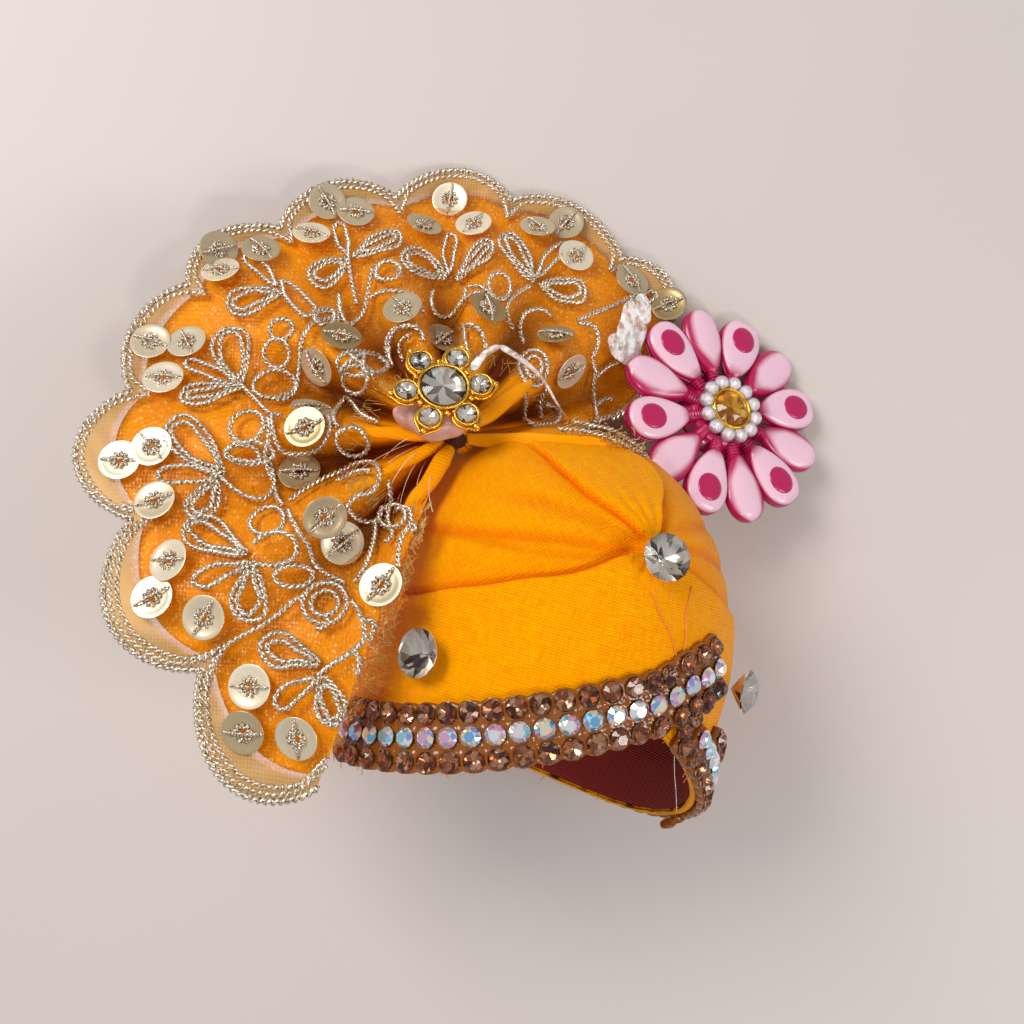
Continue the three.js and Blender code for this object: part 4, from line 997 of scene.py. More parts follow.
# Stems between them, as points in plan
stems = (
    ((-16.6, 31.3), (-16.1, 27.7), (-15.5, 25.2), (-14.9, 22.7)),
    ((-17.1, 23.9), (-16.6, 21.2), (-15.4, 19.5), (-14.3, 20.8), (-13.3, 25.1), (-13.0, 27.7)),
    ((-13.0, 23.3), (-11.2, 23.8), (-9.2, 23.9), (-7.7, 23.7)),
    ((-19.4, 20.0), (-18.7, 21.4), (-17.9, 21.6), (-17.2, 19.7), (-17.7, 18.7)),
    ((-19.4, 19.3), (-20.3, 17.2), (-20.7, 15.0), (-21.3, 12.2), (-21.8, 10.1), (-23.4, 9.4)),
    ((-28.1, 11.5), (-25.9, 9.6), (-23.3, 7.5), (-22.0, 7.3)),
    ((-19.4, 19.7), (-17.3, 20.4), (-17.3, 23.9)),
    ((-23.3, 7.5), (-22.6, 5.1), (-21.6, 3.0), (-19.1, 2.8), (-17.2, 3.5), (-16.1, 5.2), (-16.7, 7.3)),
    ((-28.6, 3.0), (-26.4, 3.7), (-24.9, 3.3), (-24.4, 2.2), (-26.4, 1.9), (-28.3, 2.7)),
    ((-23.6, 6.9), (-23.1, 4.6), (-23.8, 2.3), (-23.0, -0.4)),
    ((-15.1, 5.8), (-16.1, 8.0), (-15.3, 9.9), (-13.1, 7.7), (-10.6, 6.5)),
    ((-15.5, 12.6), (-14.3, 13.8), (-12.7, 15.3), (-10.0, 13.8)),
    ((-12.9, 15.3), (-12.5, 12.4)),
    ((-14.3, 14.7), (-11.2, 12.4)),
    ((-11.1, 0.5), (-13.6, 0.3), (-14.8, -0.5)),
    ((-10.3, 15.2), (-10.4, 17.8), (-9.5, 18.7), (-7.9, 18.6), (-6.5, 18.8)),
    ((-29.1, 0.1), (-27.3, -1.4), (-25.4, -2.4), (-23.3, -2.5), (-22.8, -1.1), (-23.3, 1.4),
     (-23.6, 3.4), (-23.3, 4.4)),
    ((-22.8, -1.1), (-21.8, -2.5), (-20.8, -3.3)),
    ((-23.5, -7.7), (-22.0, -6.6), (-20.1, -6.4), (-18.9, -7.0), (-18.8, -8.9), (-20.3, -9.8),
     (-22.8, -9.9), (-23.5, -9.7)),
    ((-19.9, -3.9), (-18.7, -5.7), (-17.6, -7.6), (-16.7, -10.2), (-14.3, -11.7), (-13.4, -12.0)),
    ((-20.1, -2.8), (-18.6, -1.4), (-16.4, 0.0), (-14.9, 0.7), (-13.6, 1.5)),
    ((-27.5, -20.6), (-26.5, -19.0), (-24.3, -17.6), (-22.0, -16.4), (-20.3, -15.1),
     (-19.2, -14.1), (-17.5, -13.3)),
    ((-10.6, -5.2), (-10.5, -7.6), (-11.1, -10.1), (-12.2, -11.9)),
    ((-14.8, 0.6), (-13.3, 1.6), (-10.5, 1.3), (-9.9, -0.1), (-10.8, -1.8), (-12.3, -2.3),
     (-13.2, -3.6), (-12.2, -5.0), (-10.6, -5.2), (-9.8, -3.4)),
    ((-12.3, -13.8), (-11.1, -15.3), (-10.6, -17.7), (-12.3, -19.3), (-14.1, -20.4)),
    ((-10.8, -15.7), (-9.4, -16.1), (-9.7, -16.9), (-10.1, -17.9)),
    ((-11.7, -18.8), (-11.0, -20.3), (-11.4, -21.6)),
    ((-9.0, -0.6), (-8.8, -2.7), (-9.1, -4.9), (-8.3, -6.8), (-9.0, -7.5)),
    ((-8.1, -3.9), (-6.5, -3.8), (-6.1, -5.1), (-7.1, -7.0), (-7.3, -8.5), (-7.2, -10.1)),
    ((-6.1, -5.6), (-5.6, -5.5), (-5.9, -6.4)),
    ((-16.1, -17.0), (-14.9, -16.0), (-15.5, -15.4)),
    ((-10.7, -17.9), (-12.5, -19.5), (-14.4, -20.7), (-15.7, -21.8)),
    ((-13.5, -26.8), (-15.3, -26.2), (-15.9, -24.7)),
    ((-5.2, 24.8), (-5.2, 22.6), (-4.5, 21.3), (-2.8, 21.2), (-1.8, 22.3), (-0.9, 25.0)),
    ((-0.5, 25.0), (0.8, 25.0), (2.3, 23.8), (3.7, 21.8)),
    ((-11.6, 23.9), (-9.9, 23.9), (-8.1, 23.6), (-6.7, 22.3), (-6.1, 21.2)),
    ((7.7, 26.1), (6.0, 24.8), (4.8, 23.4), (4.5, 21.5), (5.3, 19.6)),
    ((10.3, 21.7), (8.8, 22.8), (7.0, 22.1), (6.2, 19.9), (6.7, 17.8)),
    ((13.8, 21.1), (16.5, 22.6), (19.6, 24.3), (21.5, 25.6)),
    ((13.9, 20.6), (16.0, 20.4), (16.5, 18.4), (15.9, 15.9), (16.7, 14.2)),
    ((6.9, 11.3), (6.9, 9.5), (6.9, 7.2), (8.1, 6.6), (10.4, 7.0), (11.3, 8.4), (9.6, 9.9)),
    ((10.0, 11.9), (9.0, 10.4), (8.9, 8.0)),
    ((16.3, 14.4), (16.1, 11.3), (16.4, 8.1)),
    ((16.6, 10.1), (18.2, 11.1), (18.7, 10.9)),
    ((16.4, 13.9), (17.9, 15.3), (19.4, 16.1)),
    ((-9.6, 13.9), (-10.3, 15.8), (-9.6, 18.2), (-7.5, 18.8), (-6.1, 18.1), (-5.8, 16.9)),
    ((-8.3, 14.7), (-8.6, 16.9), (-7.4, 17.5)),
    ((-0.9, 19.2), (0.6, 18.9), (1.8, 17.0), (1.6, 14.8), (0.3, 13.1), (-0.2, 14.9), (-0.7, 17.2),
     (-0.9, 19.2)),
    ((-1.9, 22.1), (-0.5, 23.6), (1.6, 23.9)),
)
loops, scrolls = [], []
for x, y, tip_x, tip_y, width, cords in leaves:
    stalk, tip = np.array((x, y)), np.array((tip_x, tip_y))
    length = np.linalg.norm(tip - stalk)
    ahead = (tip - stalk) / length
    aside = np.array((-ahead[1], ahead[0]))
    for cord in range(cords):
        bend = np.linspace(0, 2 * np.pi, 30)
        inner = 0.85 * cord
        far = 0.9 * inner + (1 - np.cos(bend)) / 2 * (length - 1.8 * inner)
        half = (0.5 * width - inner) * np.sin(bend) * (0.3 + 0.9 * (far / length)) * 1.05
        far = far + 0.12 * np.sin(3 * bend + spin.uniform(0, 6))
        half = half + 0.12 * np.sin(4 * bend + spin.uniform(0, 6))
        plan = stalk + far[:, None] * ahead + half[:, None] * aside
        height = 1.95 + 0.22 * cord + 0.15 * np.sin(bend + spin.uniform(0, 6))
        loops.append(twist(on_net(plan[:, 0], plan[:, 1], height), 0.21, 0.18, 1.45, 5, spin.uniform(0, 6)))
for x, y, half_x, half_y in rings:
    bend = np.linspace(0, 2 * np.pi, 26) + spin.uniform(0, 6)
    height = 2.0 + 0.18 * np.sin(bend + spin.uniform(0, 6))
    scrolls.append(twist(on_net(x + half_x * np.cos(bend), y + half_y * np.sin(bend), height),
                         0.2, 0.175, 1.45, 5, spin.uniform(0, 6)))
for rows in stems:
    plan = through(rows, 0.5)
    height = 2.0 + 0.25 * np.sin(np.linspace(0, 5, len(plan)) + spin.uniform(0, 6))
    scrolls.append(twist(on_net(plan[:, 0], plan[:, 1], height), 0.2, 0.175, 1.45, 5, spin.uniform(0, 6)))
bundle("leaf_cords", loops, zari_thread)
bundle("stem_cords", scrolls, zari_thread)


# Sequins: 5 mm cups of champagne-coloured film, each held by a ring of stitches round its hole and one
# long stitch across it. Columns: x, y, direction of the long stitch in degrees, painted brightness (how lit
# or shaded the sequin is painted)
sequins = (
    (-23.6, -23.3, 0, 1), (-24.3, -28.3, 0, -1), (-18.0, -28.5, 90, 0), (-33.5, -9.6, 0, 1),
    (-35.1, -13.7, 30, 0), (-28.9, -15.8, 60, 0), (-41.3, 2.0, 0, 1), (-37.5, 3.6, -45, 0),
    (-36.4, -2.8, 20, 0), (-19.9, 0.6, 0, -2), (-15.6, -4.7, 50, -1), (-14.0, -7.6, 40, 0),
    (-8.9, -12.0, 60, -1), (-21.6, 33.0, -20, 1), (-20.0, 38.1, -60, -1), (-16.1, 36.7, 0, -1),
    (-32.3, 26.9, 0, 1), (-27.7, 30.2, -50, -1), (-33.0, 30.0, 20, -1), (-35.5, 17.1, -60, 0),
    (-40.1, 17.2, -20, 0), (-37.6, 12.3, 0, 1), (-8.4, 21.2, -50, -1), (-15.7, 17.3, -30, -2),
    (-18.5, 13.6, -70, -1), (-18.7, 8.2, 10, -1), (-18.8, 5.7, 20, -2), (-3.6, 40.0, 80, 1),
    (-6.9, 35.3, 40, -1), (-0.1, 35.5, 60, 1), (8.7, 35.5, -70, -1), (12.8, 36.6, 50, -1),
    (14.0, 31.3, 40, 1), (21.8, 28.0, -70, -1), (27.0, 24.8, 20, -2), (2.1, 21.5, 80, -2),
    (10.8, 18.6, -10, -2), (12.7, 14.0, 40, 0), (-3.5, 17.8, 30, -2),
)


def lathe(profile, steps):
    """A turned shape round Z from (radius, height) points; closed if the profile ends where it starts"""
    profile = np.asarray(profile, float)
    angle = 2 * np.pi * np.arange(steps) / steps
    points = np.stack((np.outer(np.cos(angle), profile[:, 0]), np.outer(np.sin(angle), profile[:, 0]),
                       np.tile(profile[:, 1], (steps, 1))), -1).reshape(-1, 3)
    return points, [tuple(f) for f in grid_faces(steps, len(profile), closed=True)]


def fan_frame(x, y, above):
    """Place and turning matrix of a piece that lies on the fan"""
    spot, right, ahead = (on_net(np.array([x + a]), np.array([y + b]), above)[0]
                          for a, b in ((0, 0), (1.2, 0), (0, 1.2)))
    left, behind = (on_net(np.array([x + a]), np.array([y + b]), above)[0] for a, b in ((-1.2, 0), (0, -1.2)))
    normal = np.cross(right - left, ahead - behind)
    normal /= np.linalg.norm(normal)
    first = np.cross((0, 1, 0), normal)
    first /= np.linalg.norm(first)
    return spot, np.stack((first, np.cross(normal, first), normal), 1)


sequin_cup = lathe(((0.5, 0.0), (0.56, -0.05), (1.3, 0.0), (1.9, 0.06), (2.5, 0.2), (2.52, 0.25),
                    (2.44, 0.27), (1.9, 0.14), (1.3, 0.08), (0.52, 0.06), (0.5, 0.0)), 30)
plates, stitches = [], []
plate_light_tones = []
for x, y, stitch_turn, painted_brightness in sequins:
    spot, stand = fan_frame(x, y, 2.35)
    tip = Matrix.Rotation(spin.gauss(0, 0.13), 3, "X") @ Matrix.Rotation(spin.gauss(0, 0.13), 3, "Y")
    stand = stand @ np.array(tip)
    points, faces = sequin_cup
    plates.append((spot + points @ stand.T, faces))
    # Each sequin's tone is its painted brightness, lit paler and shaded darker, with a little random tone
    plate_light_tones += [0.5 + 0.25 * painted_brightness + spin.uniform(-0.08, 0.08)] * len(points)
    bend = np.linspace(0, 2 * np.pi, 60)
    star_reach = 0.82 + 0.28 * np.sin(9 * bend)
    star = np.stack((star_reach * np.cos(bend), star_reach * np.sin(bend),
                     0.24 + 0.12 * np.sin(18 * bend)), -1)
    stitches.append(twist(spot + star @ stand.T, 0.1, 0.08, 0.9, 4, spin.uniform(0, 6)))
    angle = np.radians(stitch_turn)
    reach = np.linspace(-2.3, 2.3, 12)
    bar = np.stack((reach * np.cos(angle), reach * np.sin(angle),
                    0.34 + 0.3 * (1 - (reach / 2.3) ** 2) - 0.1 * (np.abs(reach) > 2)), -1)
    stitches.append(twist(spot + bar @ stand.T, 0.11, 0.09, 0.9, 4, spin.uniform(0, 6)))
champagne_film, tree, shader = new_finish("champagne_sequin_film",
                                          {"Metallic": 0.5, "Roughness": 0.3, "Coat Weight": 0.4,
                                           "Coat Roughness": 0.08})
tone = add_node(tree, "Attribute", {}, attribute_name="tone")
cloudy = add_node(tree, "TexNoise", {"Scale": 700.0, "Detail": 3.0})
mixed = add_node(tree, "Math", {0: cloudy, 1: 0.3, 2: tone.outputs["Fac"]}, operation="MULTIPLY_ADD")
# The tone is painted light: dark gold for shaded sequins, pale champagne for lit ones
film_tone = ramp(tree, mixed, ((0.1, "#9c804c"), (0.95, "#fff2d6")), "LINEAR")
feed(shader, {"Base Color": film_tone})
plate_piece = bundle("sequins", plates, champagne_film)
set_point_value(plate_piece, "tone", plate_light_tones)
bundle("sequin_stitches", stitches, zari_thread)


# The gathered neck of the fan: all its pleats are bound into a stump and pushed down behind the crown,
# which leaves a dark hollow in the middle. The thick folded edges of the outermost pleats lie round it.
def tube(points, half_widths, half_height, sides=12):
    """A flattened roll along points in millimetres; it ends in rounded tips"""
    line = through(points, 0.3)
    share_along = np.linspace(0, 1, len(line))
    width = np.interp(share_along, np.linspace(0, 1, len(half_widths)), half_widths)
    run = np.gradient(line, axis=0)
    run /= np.linalg.norm(run, axis=1)[:, None]
    side = np.cross(run, np.array((0, 0, 1.0)))
    side /= np.linalg.norm(side, axis=1)[:, None]
    over = np.cross(side, run)
    end = np.clip(np.minimum(np.arange(len(line)), np.arange(len(line))[::-1]) * 0.3 / 0.5, 0.04, 1) ** 0.5
    ring = 2 * np.pi * np.arange(sides) / sides
    crease = 1 + 0.06 * np.sin(9 * share_along + 1)[:, None, None]
    shell = (line[:, None]
             + crease * (width * end)[:, None, None] * np.cos(ring)[None, :, None] * side[:, None]
             + (half_height * end)[:, None, None] * np.sin(ring)[None, :, None] * over[:, None])
    return shell.reshape(-1, 3), tube_faces(len(line), sides)


tie_axis = np.array((-0.62, 0.55, 0.56))
tie_axis /= np.linalg.norm(tie_axis)
tie_stand = np.array(Vector(tie_axis).to_track_quat("Z", "Y").to_matrix())
angle = np.linspace(0, 2 * np.pi, 72, endpoint=False)
flute = 1 + 0.11 * np.cos(11 * angle) + 0.05 * np.cos(23 * angle + 1)
# Profile of the stump from its foot up and into the hollow. Columns: height along its axis, radius
stump = ((-2.2, 0.2), (-2.2, 1.25), (-1.2, 1.4), (-0.2, 1.5), (0.6, 1.62), (0.95, 1.45), (0.8, 0.95),
         (0.1, 0.6), (-0.9, 0.45), (-1.1, 0.05))
stump_points = np.stack([np.stack((radius * flute * np.cos(angle), radius * flute * np.sin(angle),
                                   height + 0.12 * np.cos(11 * angle) * (radius > 1)), -1)
                         for height, radius in stump], 1).reshape(-1, 3)
stump_points = fan_neck + stump_points @ tie_stand.T
rolls = [(stump_points, [tuple(f) for f in grid_faces(72, len(stump), closed=True)])]
# The outermost pleats' folded edges. Columns: line of the roll, half widths along it, and its height as a
# share of its width
folded_edges = (
    (((-13.8, 5.9, 31.0), (-12.3, 5.4, 31.2), (-8.6, 5.2, 30.7), (-5.3, 4.9, 29.9), (-3.2, 4.7, 29.3)),
     (0.3, 0.75, 0.85, 0.7, 0.5), 0.5),
    (((-10.1, 0.1, 34.9), (-7.8, 1.4, 33.4), (-5.7, 2.6, 31.9), (-3.9, 3.7, 30.5), (-2.6, 4.5, 29.5)),
     (0.3, 0.7, 0.8, 0.7, 0.5), 0.5),
    (((-7.0, -4.8, 36.1), (-6.2, -3.0, 35.4), (-4.6, -1.0, 34.2), (-3.0, 1.9, 32.0), (-1.9, 3.9, 30.0)),
     (0.4, 0.85, 1.05, 1.0, 0.6), 0.6),
    (((7.6, 12.0, 24.6), (6.5, 11.0, 25.7), (4.6, 9.5, 27.1), (2.4, 7.6, 28.4), (0.2, 6.1, 29.2)),
     (0.4, 0.9, 1.05, 0.95, 0.6), 0.6),
    (((-0.8, 4.7, 29.2), (3.75, 4.34, 29.4), (7.34, 4.37, 31.2), (10.31, 4.19, 31.8),
      (15.54, 3.68, 31.0), (18.6, 3.1, 29.2), (21.2, 1.7, 27.5)),
     (0.6, 0.9, 0.95, 0.85, 1.0, 1.05, 0.5), 0.2),
)
for line, half_widths, share_high in folded_edges:
    rolls.append(tube(line, half_widths, share_high))
# The last pleat is turned under: it drops in shadow from the crown's edge to the fan's first fold
run = np.repeat(np.linspace(0, 1, 44), 14)
fall = np.tile(np.linspace(0, 1, 14), 44)
upper_line = through(((-0.8, 4.8, 28.7), (3.75, 4.4, 28.8), (7.34, 4.3, 30.2), (10.31, 4.1, 30.7),
                      (14.8, 3.7, 29.8)), 0.3)
upper = np.stack([np.interp(run * (len(upper_line) - 1), np.arange(len(upper_line)), upper_line[:, k])
                  for k in range(3)], -1)
lower = fan_point(np.full(len(run), 11.0), 2.6 + (13.2 + 0.5 * np.sin(19 * fall)) * run, 0.1)
gusset = upper + (lower - upper) * fall[:, None]
gusset[:, 1] += 0.5 * np.sin(np.pi * fall) * np.clip(run * 4, 0, 1) + 0.12 * np.sin(9 * run + 2)
gusset[:, 2] -= 0.9 * np.sin(np.pi * fall) * np.clip(run * 4, 0, 1)
points, faces, used = thicken(gusset, gusset - np.array((0, 0.05, 0.3)), grid_faces(44, 14, flip=True))
in_rolls = sum(len(roll_points) for roll_points, roll_faces in rolls)
rolls.append((points, [tuple(f) for f in faces]))
pleat_edges = bundle("pleat_edges", rolls, orange_satin)
edge_points = np.vstack([points for points, faces in rolls])
# Painted shade: the turned-under pleat gets much of it, the folded edges a little
shaded = np.full(len(edge_points), 0.62)
shaded[:in_rolls] = 0.14
set_point_value(pleat_edges, "valley_shade", shaded)
set_threads(pleat_edges, edge_points[:, 0] * 0.6 + edge_points[:, 1], edge_points[:, 0])
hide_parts("fan_tie")
# Its cut end, and the net's over it, fray along the crown's edge
frays = []
for k in range(120):
    share = spin.uniform(0, 1)
    root = np.array((11.5 + 10.0 * share, 5.6 - 2.9 * share * share, 31.5 - 2.9 * share * share))
    root += np.array((spin.gauss(0, 0.5), spin.gauss(0, 0.55), spin.uniform(-0.4, 0.5)))
    bearing = spin.gauss(-0.2, 1.1) + (np.pi if spin.random() < 0.3 else 0)
    length = spin.uniform(0.4, 1.3)
    run = np.linspace(0, 1, 4)
    curl = spin.gauss(0, 0.8)
    frays.append(strand(root + length * np.stack((run * np.cos(bearing + curl * run),
                                                  run * np.sin(bearing + curl * run),
                                                  0.25 * np.sin(np.pi * run) - 0.2 * run), -1),
                        spin.uniform(0.045, 0.085)))
bundle("frayed_pleat_end", frays, brass_thread)
end_cords = []
for rows in (((10.6, 5.6, 31.7), (13.2, 5.5, 31.7), (15.9, 4.9, 31.3), (18.7, 3.9, 29.8), (21.6, 2.3, 27.9)),
             ((15.2, 3.3, 31.5), (17.4, 2.9, 30.4), (19.4, 2.0, 29.0), (21.0, 0.9, 27.5)),
             ((12.4, 6.5, 31.2), (14.6, 6.1, 31.2), (16.4, 5.8, 30.8), (18.9, 4.6, 29.6), (20.8, 3.4, 28.2))):
    end_cords.append(twist(through(rows, 0.25), 0.16, 0.15, 1.2, 5))
bundle("pleat_end_cords", end_cords, zari_thread)

# The hollow between the stump and the pleats, stuffed with the cut ends of the binding. These are coloured
# near-black brown, as painted shade of the hollow.
hollow_shadow_felt, tree, shader = new_finish("hollow_shadow_thread_ends", {"Roughness": 0.9})
fluff = add_node(tree, "TexNoise", {"Scale": 2200.0, "Detail": 4.0})
hollow_shadow_tone = add_node(tree, "Mix", {"Factor": fluff, "A": "#1c0a02", "B": "#5c2c0c"}, data_type="RGBA")
feed(shader, {"Base Color": hollow_shadow_tone})
tufts = [strand(np.array((-1.5, 4.4, 30.9)) + np.array([
    (reach * np.cos(bearing), reach * np.sin(bearing), 0.55 * (1 - reach) + spin.uniform(-0.1, 0.1))
    for reach in np.linspace(0.0, spin.uniform(0.9, 1.6), 4)]), 0.09)
    for bearing in np.linspace(0, 2 * np.pi, 34)]
hollow = lathe(((0.02, 0.25), (0.5, 0.2), (0.9, 0.0), (1.15, -0.3), (1.2, -0.9), (0.02, -1.0)), 24)
tufts.append((hollow[0] * np.array((1.1, 0.85, 1)) + np.array((-1.5, 4.4, 30.55)), hollow[1]))
bundle("neck_hollow", tufts, hollow_shadow_felt)


# The brooch: a gilt casting of one large cup and six small ones with ball tips, set with clear stones.
# It hides the tie, and lies on a lump of pinkish hot glue.
def stand_up(axis, spin_degrees):
    """Turning matrix that brings +Z to an axis the short way, after a spin round it"""
    short = Vector((0, 0, 1)).rotation_difference(Vector(axis)).to_matrix()
    return np.array(short @ Matrix.Rotation(np.radians(spin_degrees), 3, "Z"))


def ball(radius, place, sides=12):
    """A ball, in millimetres"""
    bend = np.linspace(0, np.pi, sides // 2 + 1)
    points, faces = lathe(np.stack((radius * np.sin(bend) + 1e-4, -radius * np.cos(bend)), -1), sides)
    return points + np.asarray(place), faces


gilt, tree, shader = new_finish("bright_gilt", {"Metallic": 1.0, "Roughness": 0.2})
wear = add_node(tree, "TexNoise", {"Scale": 1300.0, "Detail": 4.0})
gilt_tone = add_node(tree, "Mix", {"Factor": wear, "A": "#d09420", "B": "#ffd460"}, data_type="RGBA")
feed(shader, {"Base Color": gilt_tone})
polish = add_node(tree, "MapRange", {"Value": wear, "To Min": 0.12, "To Max": 0.32})
feed(shader, {"Roughness": polish})
bump = add_node(tree, "Bump", {"Height": wear, "Strength": 0.25, "Distance": 0.00008})
feed(shader, {"Normal": bump})

brooch_place = np.array((-2.82, 9.778, 33.4))
brooch_stand = stand_up((0.12, 0.42, 0.9), 8)
brooch_ring = 4.3
casting = [lathe(((0.02, 0.0), (2.9, 0.0), (3.0, 0.12), (3.0, 0.7), (3.06, 1.3), (3.0, 1.52), (2.86, 1.56),
                  (2.72, 1.46), (2.66, 1.2), (2.66, 0.7), (0.02, 0.7)), 48)]
small_cup = lathe(((0.02, 0.1), (1.45, 0.1), (1.5, 0.2), (1.5, 0.8), (1.54, 1.1), (1.46, 1.26), (1.32, 1.26),
                   (1.2, 1.12), (1.2, 0.6), (0.02, 0.6)), 28)
for k in range(6):
    bearing = np.radians(60 * k)
    ahead = np.array((np.cos(bearing), np.sin(bearing), 0))
    aside = np.array((-ahead[1], ahead[0], 0))
    casting.append((small_cup[0] + brooch_ring * ahead, small_cup[1]))
    # A wire outline round each small cup comes to a point that ends in a ball
    bend = np.linspace(0, 2 * np.pi, 40)
    pointed = 1 + 0.34 * np.exp(-((bend - np.pi) / 0.32) ** 2)
    wire = (brooch_ring * ahead - (1.62 * pointed * np.cos(bend))[:, None] * ahead
            + (1.62 * np.sin(bend))[:, None] * aside + np.array((0, 0, 0.5)))
    casting.append(tube(wire, (0.17, 0.17), 0.2, 8))
    casting.append(ball(0.42, ahead * brooch_ring * 1.42 + np.array((0, 0, 0.7))))
    between = np.radians(60 * k + 30)
    for reach, side_step, size in ((3.42, 0.0, 0.4), (3.3, 0.72, 0.28), (3.3, -0.72, 0.28)):
        spot = np.array((reach * np.cos(between) - side_step * np.sin(between),
                         reach * np.sin(between) + side_step * np.cos(between), 0.95))
        casting.append(ball(size, spot, 10))
casting = [(brooch_place + points @ brooch_stand.T, faces) for points, faces in casting]
brooch = bundle("brooch_casting", casting, gilt)
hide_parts("brooch_setting")
brooch_normal = brooch_stand[:, 2]
centre_cut = brilliant(8, 2.58, 0.85, 0.56, 0.5)
centre = set_stones("brooch_centre_stone", centre_cut,
                    [(brooch_place + brooch_normal * 1.38, brooch_normal)], clear_glass, silver_foil, 21)
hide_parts("brooch_stone_centre")
ring_cut = brilliant(6, 1.16, 0.5, 0.56, 0.42)
ring_places = []
for k in range(6):
    turn = np.radians(60 * k)
    spot = np.array((brooch_ring * np.cos(turn), brooch_ring * np.sin(turn), 1.12))
    ring_places.append((brooch_place + brooch_stand @ spot, brooch_normal))
ring_stones = set_stones("brooch_ring_stones", ring_cut, ring_places, clear_glass, silver_foil, 22)
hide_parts(*["brooch_stone_%d" % (k + 1) for k in range(6)])


# Hot glue: milky, set in lumps with thin strings pulled from them. It is pinkish under the brooch, and white
# and smeared thin under the flower. A wisp of the trim's own resin hangs behind the rim.
def glue_lump(centre, radii, turn_matrix, seed, steps=(40, 26)):
    """An uneven rounded lump"""
    dice = np.random.default_rng(seed)
    u = np.linspace(0, 2 * np.pi, steps[0], endpoint=False)[:, None]
    v = np.linspace(0.001, np.pi - 0.001, steps[1])[None, :]
    way = np.stack((np.cos(u) * np.sin(v), np.sin(u) * np.sin(v), np.cos(v) + 0 * u), -1).reshape(-1, 3)
    swell = np.ones(len(way))
    for wave in range(7):
        push = dice.normal(size=3) * 2.2
        swell += 0.055 * np.sin(way @ push + dice.uniform(0, 6))
    points = np.asarray(centre) + (way * swell[:, None] * np.asarray(radii)) @ turn_matrix.T
    return points, [tuple(f) for f in grid_faces(steps[0], steps[1], closed=True, flip=True)]


def glue_material(name, low, high, clearness, thin=0.0):
    """Glue mottled between two tones; clearness lets light in, and thin is how bare its thin patches are"""
    material, tree, shader = new_finish(name,
                                        {"Roughness": 0.28, "IOR": 1.49, "Transmission Weight": clearness,
                                         "Subsurface Weight": 0.3, "Subsurface Scale": 0.0006})
    milk = add_node(tree, "TexNoise", {"Scale": 6.5, "Detail": 5.0})
    mixed = add_node(tree, "Mix", {"Factor": milk, "A": low, "B": high}, data_type="RGBA")
    feed(shader, {"Base Color": mixed})
    ripple = add_node(tree, "Bump", {"Height": milk, "Strength": 0.35, "Distance": 0.0003})
    feed(shader, {"Normal": ripple})
    if thin:
        cover = add_node(tree, "MapRange",
                         {"Value": milk, "From Min": 0.42, "From Max": 0.58, "To Min": 1 - thin,
                          "To Max": 0.95})
        feed(shader, {"Alpha": cover})
    return material


pink_glue = glue_material("pinkish_hot_glue", "#d89c88", "#f4d0c4", 0.3)
white_glue = glue_material("white_hot_glue", "#fff4ea", "#ffffff", 0.0, 0.85)
lump_centre = brooch_place + brooch_stand @ np.array((-0.6, -1.8, -2.4))
pink_lumps = [glue_lump(lump_centre, (3.6, 3.0, 2.2), brooch_stand, 1),
              glue_lump((-6.7, 6.9, 31.4), (2.3, 1.3, 0.9), stand_up((0.3, -0.3, 0.9), -35), 2),
              glue_lump((-4.3, 5.5, 31.2), (1.5, 1.1, 0.8), stand_up((0.1, -0.2, 0.95), -20), 5)]
pink_piece = bundle("brooch_hot_glue", pink_lumps, pink_glue)
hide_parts("brooch_glue")
flower_turn = np.array(Matrix.Rotation(np.radians(36), 3, "Y"))
white_lumps = [glue_lump((21.08, 18.678, 10.2), (2.2, 2.6, 0.8), flower_turn, 3),
               glue_lump((21.3, 20.9, 11.2), (2.7, 3.1, 0.32), flower_turn, 6),
               glue_lump((20.3, 18.0, 11.6), (2.6, 2.2, 0.3), flower_turn, 8),
               glue_lump((23.0, 23.2, 10.4), (1.3, 2.0, 0.28), flower_turn, 9)]
white_piece = bundle("flower_hot_glue", white_lumps, white_glue)
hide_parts("flower_glue")
strings = [tube(((0.6, 12.2, 34.0), (2.2, 14.1, 34.6), (3.9, 15.0, 34.2)), (0.55, 0.42, 0.34), 0.3, 10),
           tube(((3.7, 15.0, 34.3), (6.0, 13.8, 33.0), (8.6, 11.8, 30.6), (10.6, 9.0, 27.6),
                 (12.0, 7.4, 24.5)), (0.36, 0.3, 0.2, 0.14, 0.06), 0.22, 10)]
bundle("glue_strings", strings, white_glue)
# A wisp of the strip's own resin hangs from its end, behind the rim
wisp = [glue_lump((26.6, -43.3, 18.2), (1.5, 0.55, 0.9), stand_up((0.1, -0.4, 0.9), 32), 14),
        glue_lump((25.4, -44.3, 17.6), (1.1, 0.5, 0.7), stand_up((-0.1, -0.5, 0.8), 18), 15),
        glue_lump((27.6, -42.3, 18.8), (0.8, 0.5, 0.7), stand_up((0.2, -0.3, 0.8), 50), 16)]
bundle("resin_wisp", wisp, amber_resin)


